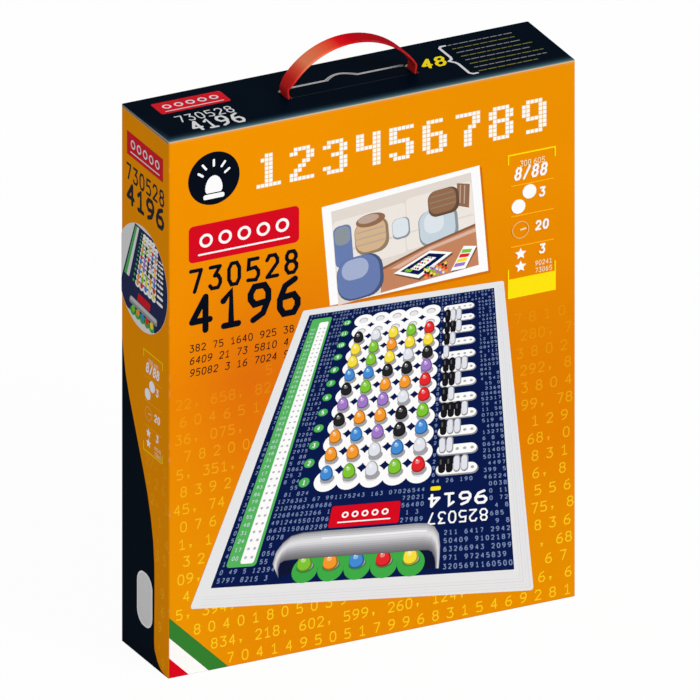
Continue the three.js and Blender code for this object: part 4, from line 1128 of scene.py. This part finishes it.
def round_picture(sheet, rng, at, turned_over):
    """The printed board once more, cropped to a circle that runs over the side's rear edge.
    turned_over swaps its two sides about the circle's middle, so that it reads the same on both sides."""
    middle, radius, limit = np.array([34.9, 243.7]), 33.4, [DEEP - 0.1, math.inf]
    lattice = in_perspective([(44.8, 235.9), (17.4, 234.0), (13.6, 272.2), (33.3, 273.4)], 41.3, 97.5)
    sheet.lay("pale", at(np.minimum(discs(middle, radius, 90), limit)))

    @through
    def seen(drawn):
        flat = lattice(drawn - [29.3, 36.7])
        if turned_over:
            flat = flat * [-1, 1] + [2 * middle[0], 0]
        away = flat[(np.linalg.norm(flat.mean(1) - middle, axis=1) < radius - 0.4) | (len(flat) == 1)] - middle
        reach = np.linalg.norm(away, axis=-1, keepdims=True)
        return at(np.minimum(middle + away * np.minimum(1, (radius - 0.2) / np.maximum(reach, 1e-6)), limit))

    sheet.seen = seen
    corners = [(4.6, 6), (95.2, 6), (95.2, 140), (4.6, 140), (4.6, 6)]
    sheet.draw("field", np.concatenate([np.linspace(a, b, 24) for a, b in zip(corners, corners[1:])])[None])
    sheet.draw("green", soft_block(7, 40, 12, 136, 0.8, 12))
    sheet.draw("pale", soft_block(12, 40, 17, 136, 0.8, 12))
    sheet.draw("green", discs([(25.7, y) for y in ROWS], 1.9, 12))
    joined_discs(sheet, 20)
    colours = rng.permutation(np.tile(PEG_INKS, 8))[:60]
    for row in range(9, -1, -1):
        sheet.level += 1
        for colour in PEG_INKS:
            here = HOLES[(ROW == row) & (colours == colour)]
            if len(here):
                sheet.draw(colour, discs(here + [0, 2.2], 2.7, 14, 1.5), rise=0)
    sheet.draw("white", bars([(73.9, y, 83, y) for y in ROWS], 3.6, 4))
    pins = np.array([(74 + 2.6 * k, y, 74 + 2.6 * k, y + 3.6) for y in ROWS[2:] for k in range(3)])
    sheet.draw("black", bars(pins[::2], 1.5, 3))
    sheet.draw("red", soft_block(38, 22, 61, 31, 0.8))
    sheet.draw("grass", discs(in_row(33.5, 8.4, 8.1), 4.6, 18))
    sheet.level += 1
    for colour, place in zip(CODE_INKS, in_row(33.5, 10.4, 8.1)):
        sheet.draw(colour, discs(place, 2.8, 14, 1.3), rise=0)
    sheet.draw(150, soft_block(25, 13.5, 75, 21, 2.4, 8))
    sheet.draw(198, soft_block(26, 16.6, 74, 20.6, 1.8, 8))


def narrow_side(side):
    """One narrow side: red plate, digits, round picture, signs, code digits and a bare pale pill.
    Places are millimetres behind the front edge; at turns them into millimetres across this side."""
    sheet, rng = Print(side, "carton"), np.random.default_rng(5 if side == "left" else 6)

    def at(drawn):
        return drawn if side == "right" else np.stack([DEEP - drawn[..., 0], drawn[..., 1]], -1)

    def start(near, far):
        return near if side == "right" else DEEP - far

    def on_orange(x, y):
        return start(x, x) + 4.5 < DEEP * np.interp(1 - y / TALL, *zip(*SIDE_CURVE))

    ground = code_ink(side + "_code_ink", lambda f: f.shade(paint(*SIDE_ORANGE), 1.0), 0.42)
    sheet.lay(ground, code_field(rng, 1, DEEP - 1, 128, on_orange))
    plate, text, pill = start(7.6, 55.2), start(6.5, 56), start(21.6, 41.6)
    sheet.lay("red-", soft_block(plate, 316.2, plate + 47.6, 331.2, 0.5))
    sheet.lay("red", soft_block(plate + 0.1, 316.3, plate + 47.5, 331.1, 0.5))
    ring_row(sheet, "pearl", plate + 8, 324.6, 8, (2.9, 1.8), (24, 20), [plate + 5, 319, plate + 42.6, 319], 0.8)
    sheet.lay("navy", figures("730528", text, 300, 6.6, 10.8, 8.66, 1.5, steps=4),
              figures("4196", text + 0.4, 284.6, 10.6, 14.4, 12.9, 2.7, steps=5))
    round_picture(sheet, rng, at, side == "right")
    info_column(sheet, start(7.7, 33), 199.5, 0.805, closed=True)
    sheet.lay("white", soft_block(pill, 21.4, pill + 20, 56, 8.6, 12))
    sheet.lay("pale", soft_block(pill + 1, 22.4, pill + 19, 55, 7.8, 12))
    sheet.press()


def lid_print():
    """The lid's drawings: red plate, white digits, a yellow number, a brace, rows of fine marks and the pale
    line beside the tab's cut."""
    sheet, rng = Print("lid", "lid"), np.random.default_rng(3)
    sheet.lay("red-", soft_block(14.4, 37.8, 60, 53.9, 1.6))
    sheet.lay("red", soft_block(14.5, 37.9, 59.9, 53.8, 1.6))
    ring_row(sheet, "pearl", 22, 47, 7.7, (2.8, 1.7), (24, 20), [18.4, 40.8, 56, 40.8], 0.8)
    sheet.lay("pale", figures("730528", 18.8, 22.7, 4.8, 9.2, 6.35, 0.9, steps=4))
    sheet.lay("pale", figures("4196", 21.4, 7.4, 7.4, 14.2, 8.9, 1.9, steps=5))
    sheet.lay("yellow", figures("48", 180.6, 27.4, 7.2, 13.0, 8.8, 2.0, 0.3, steps=5))
    half = [(207.0, 52.4), (204.2, 52.4), (202.5, 50.4), (202.6, 36.2), (201.9, 33.4), (199.4, 31.4)]
    sheet.lay("pale", stroke([half + [(x, 61.6 - y) for x, y in half[-2::-1]]], 1.7))
    for row, reach in enumerate((250.6, 251.4, 251.6, 255.8, 252.5, 256.8, 256.1, 248.4)):
        y, x, marks = 52 - row * 5.8, 208.9, []
        while x < reach - 1:
            length = rng.uniform(1.8, 6.4)
            marks.append([x, y, min(x + length, reach), y])
            x += length + 1.1
        sheet.lay("olive" if row % 2 else 150, bars(marks, 0.7, 1))
    sheet.lay(206, stroke(tab_edge(0.85), 0.7))
    sheet.lay("navy", block(-39.9, -6.6, 39.9, -5.7) - [LEFT / MM, FRONT / MM])
    sheet.press()
    tab = Print("lid", "finger_tab")
    tab.lay(206, stroke(tab_edge(-0.3), 0.6))
    tab.press()


def tab_edge(off):
    """The finger tab's cut edge with its thumb tongue, moved outward, in the lid's drawing places."""
    side, rear, corner = 39.6 + off, 7.2 + off, 3.5
    turn = np.linspace(0.85, math.pi / 2, 5)
    bend = np.stack([side - corner + corner * np.cos(turn), rear - corner + corner * np.sin(turn)], -1)
    share = np.linspace(1, -1, 21)
    tongue = np.stack([-0.5 + (10 + off) * share, rear + 5.5 * np.cos(share * math.pi / 2)], -1)
    line = np.concatenate([bend, tongue, bend[::-1] * [-1, 1]])
    return (line - [LEFT / MM, FRONT / MM])[None]


def rear_print():
    """Faint code digits over the navy rear."""
    sheet = Print("rear", "carton")
    sheet.lay("dim", code_field(np.random.default_rng(23), 9, WIDE - 9, 332, lambda x, y: y > 9))
    sheet.press()


def board_digits():
    """Pale digits over the navy card where nothing covers it, and a numbered green mark beside each row."""
    sheet, rng = Print("board", "board"), np.random.default_rng(17)
    covered = [(-59, 22, 42, 237), (-107, 26, -58, 231), (-88, 236, 72, 280)]  # lattice, strip and marks, hood

    def bare(x, y):
        on_answers = 46 < x < 101 and 22 < y < 234 and not 8.4 <= (y - 32.4) % 19 <= 10.6
        return not on_answers and not any(a < x < c and b < y < d for a, b, c, d in covered)

    spots = [(x, y) for y in 21 + 6.5 * np.arange(42) for x in -106.5 + 5 * np.arange(42) if bare(x, y)]
    sheet.lay("speck", digits_at(rng.choice(list("0123456789"), len(spots)), spots, 2.4, 3.4, 0.5, steps=2))
    marks = np.array([(-67, 34 + 19 * row) for row in range(11)])
    sheet.lay("green", discs(marks, 5, 32))
    sheet.lay("white", row_numbers(marks + [0.35, 0], 1.9, 3.8, 2.4, 3, 4.8, 0.8))
    sheet.press()


front_print()
rear_print()
narrow_side("left")
narrow_side("right")
lid_print()
board_digits()


# Floor, lamps and sky

def studio_floor():
    """A wide pale floor that looks almost white and still takes a soft shadow."""
    half = 60
    mesh = bpy.data.meshes.new("floor")
    mesh.from_pydata([(-half, -half, 0), (half, -half, 0), (half, half, 0), (-half, half, 0)],
                     [], [(0, 1, 2, 3)])
    f = Finish("floor_paper")
    paper = f.node("ShaderNodeBsdfDiffuse", {}, {"Color": (0.82, 0.82, 0.82, 1)})
    white = f.node("ShaderNodeEmission", {}, {"Color": (1, 1, 1, 1), "Strength": 1.0})
    both = f.node("ShaderNodeMixShader", {}, {0: f.looked_at() * 0.97, 1: paper, 2: white})
    f.node("ShaderNodeOutputMaterial", {}, {"Surface": both}, output=None)
    mesh.materials.append(f.material)
    floor = bpy.data.objects.new("floor", mesh)
    floor.location.z = -0.0001
    bpy.context.scene.collection.objects.link(floor)


def sky(level):
    """Even soft light of a level; the camera and reflections see it white."""
    world = bpy.data.worlds.new("sky")
    bpy.context.scene.world = world
    nodes = Nodes(world)
    soft, white = (nodes.node("ShaderNodeBackground", {}, {"Color": (1, 1, 1, 1), "Strength": strength})
                   for strength in (level, 1))
    both = nodes.node("ShaderNodeMixShader", {}, {0: nodes.looked_at(), 1: soft, 2: white})
    nodes.node("ShaderNodeOutputWorld", {}, {"Surface": both}, output=None)


def lamp(name, direction, strength, angle):
    """A distant lamp shining from a direction, its shadow softened by its angle in degrees."""
    data = bpy.data.lights.new(name, "SUN")
    data.energy, data.angle = strength, math.radians(angle)
    made = bpy.data.objects.new(name, data)
    made.rotation_euler = Vector(direction).to_track_quat("Z", "Y").to_euler()
    bpy.context.scene.collection.objects.link(made)


studio_floor()
sky(0.46)
lamp("key_lamp", (0.35, -0.8, 0.55), 1.84, 25)

bpy.context.scene.view_settings.view_transform = "Standard"

bpy.context.view_layer.update()
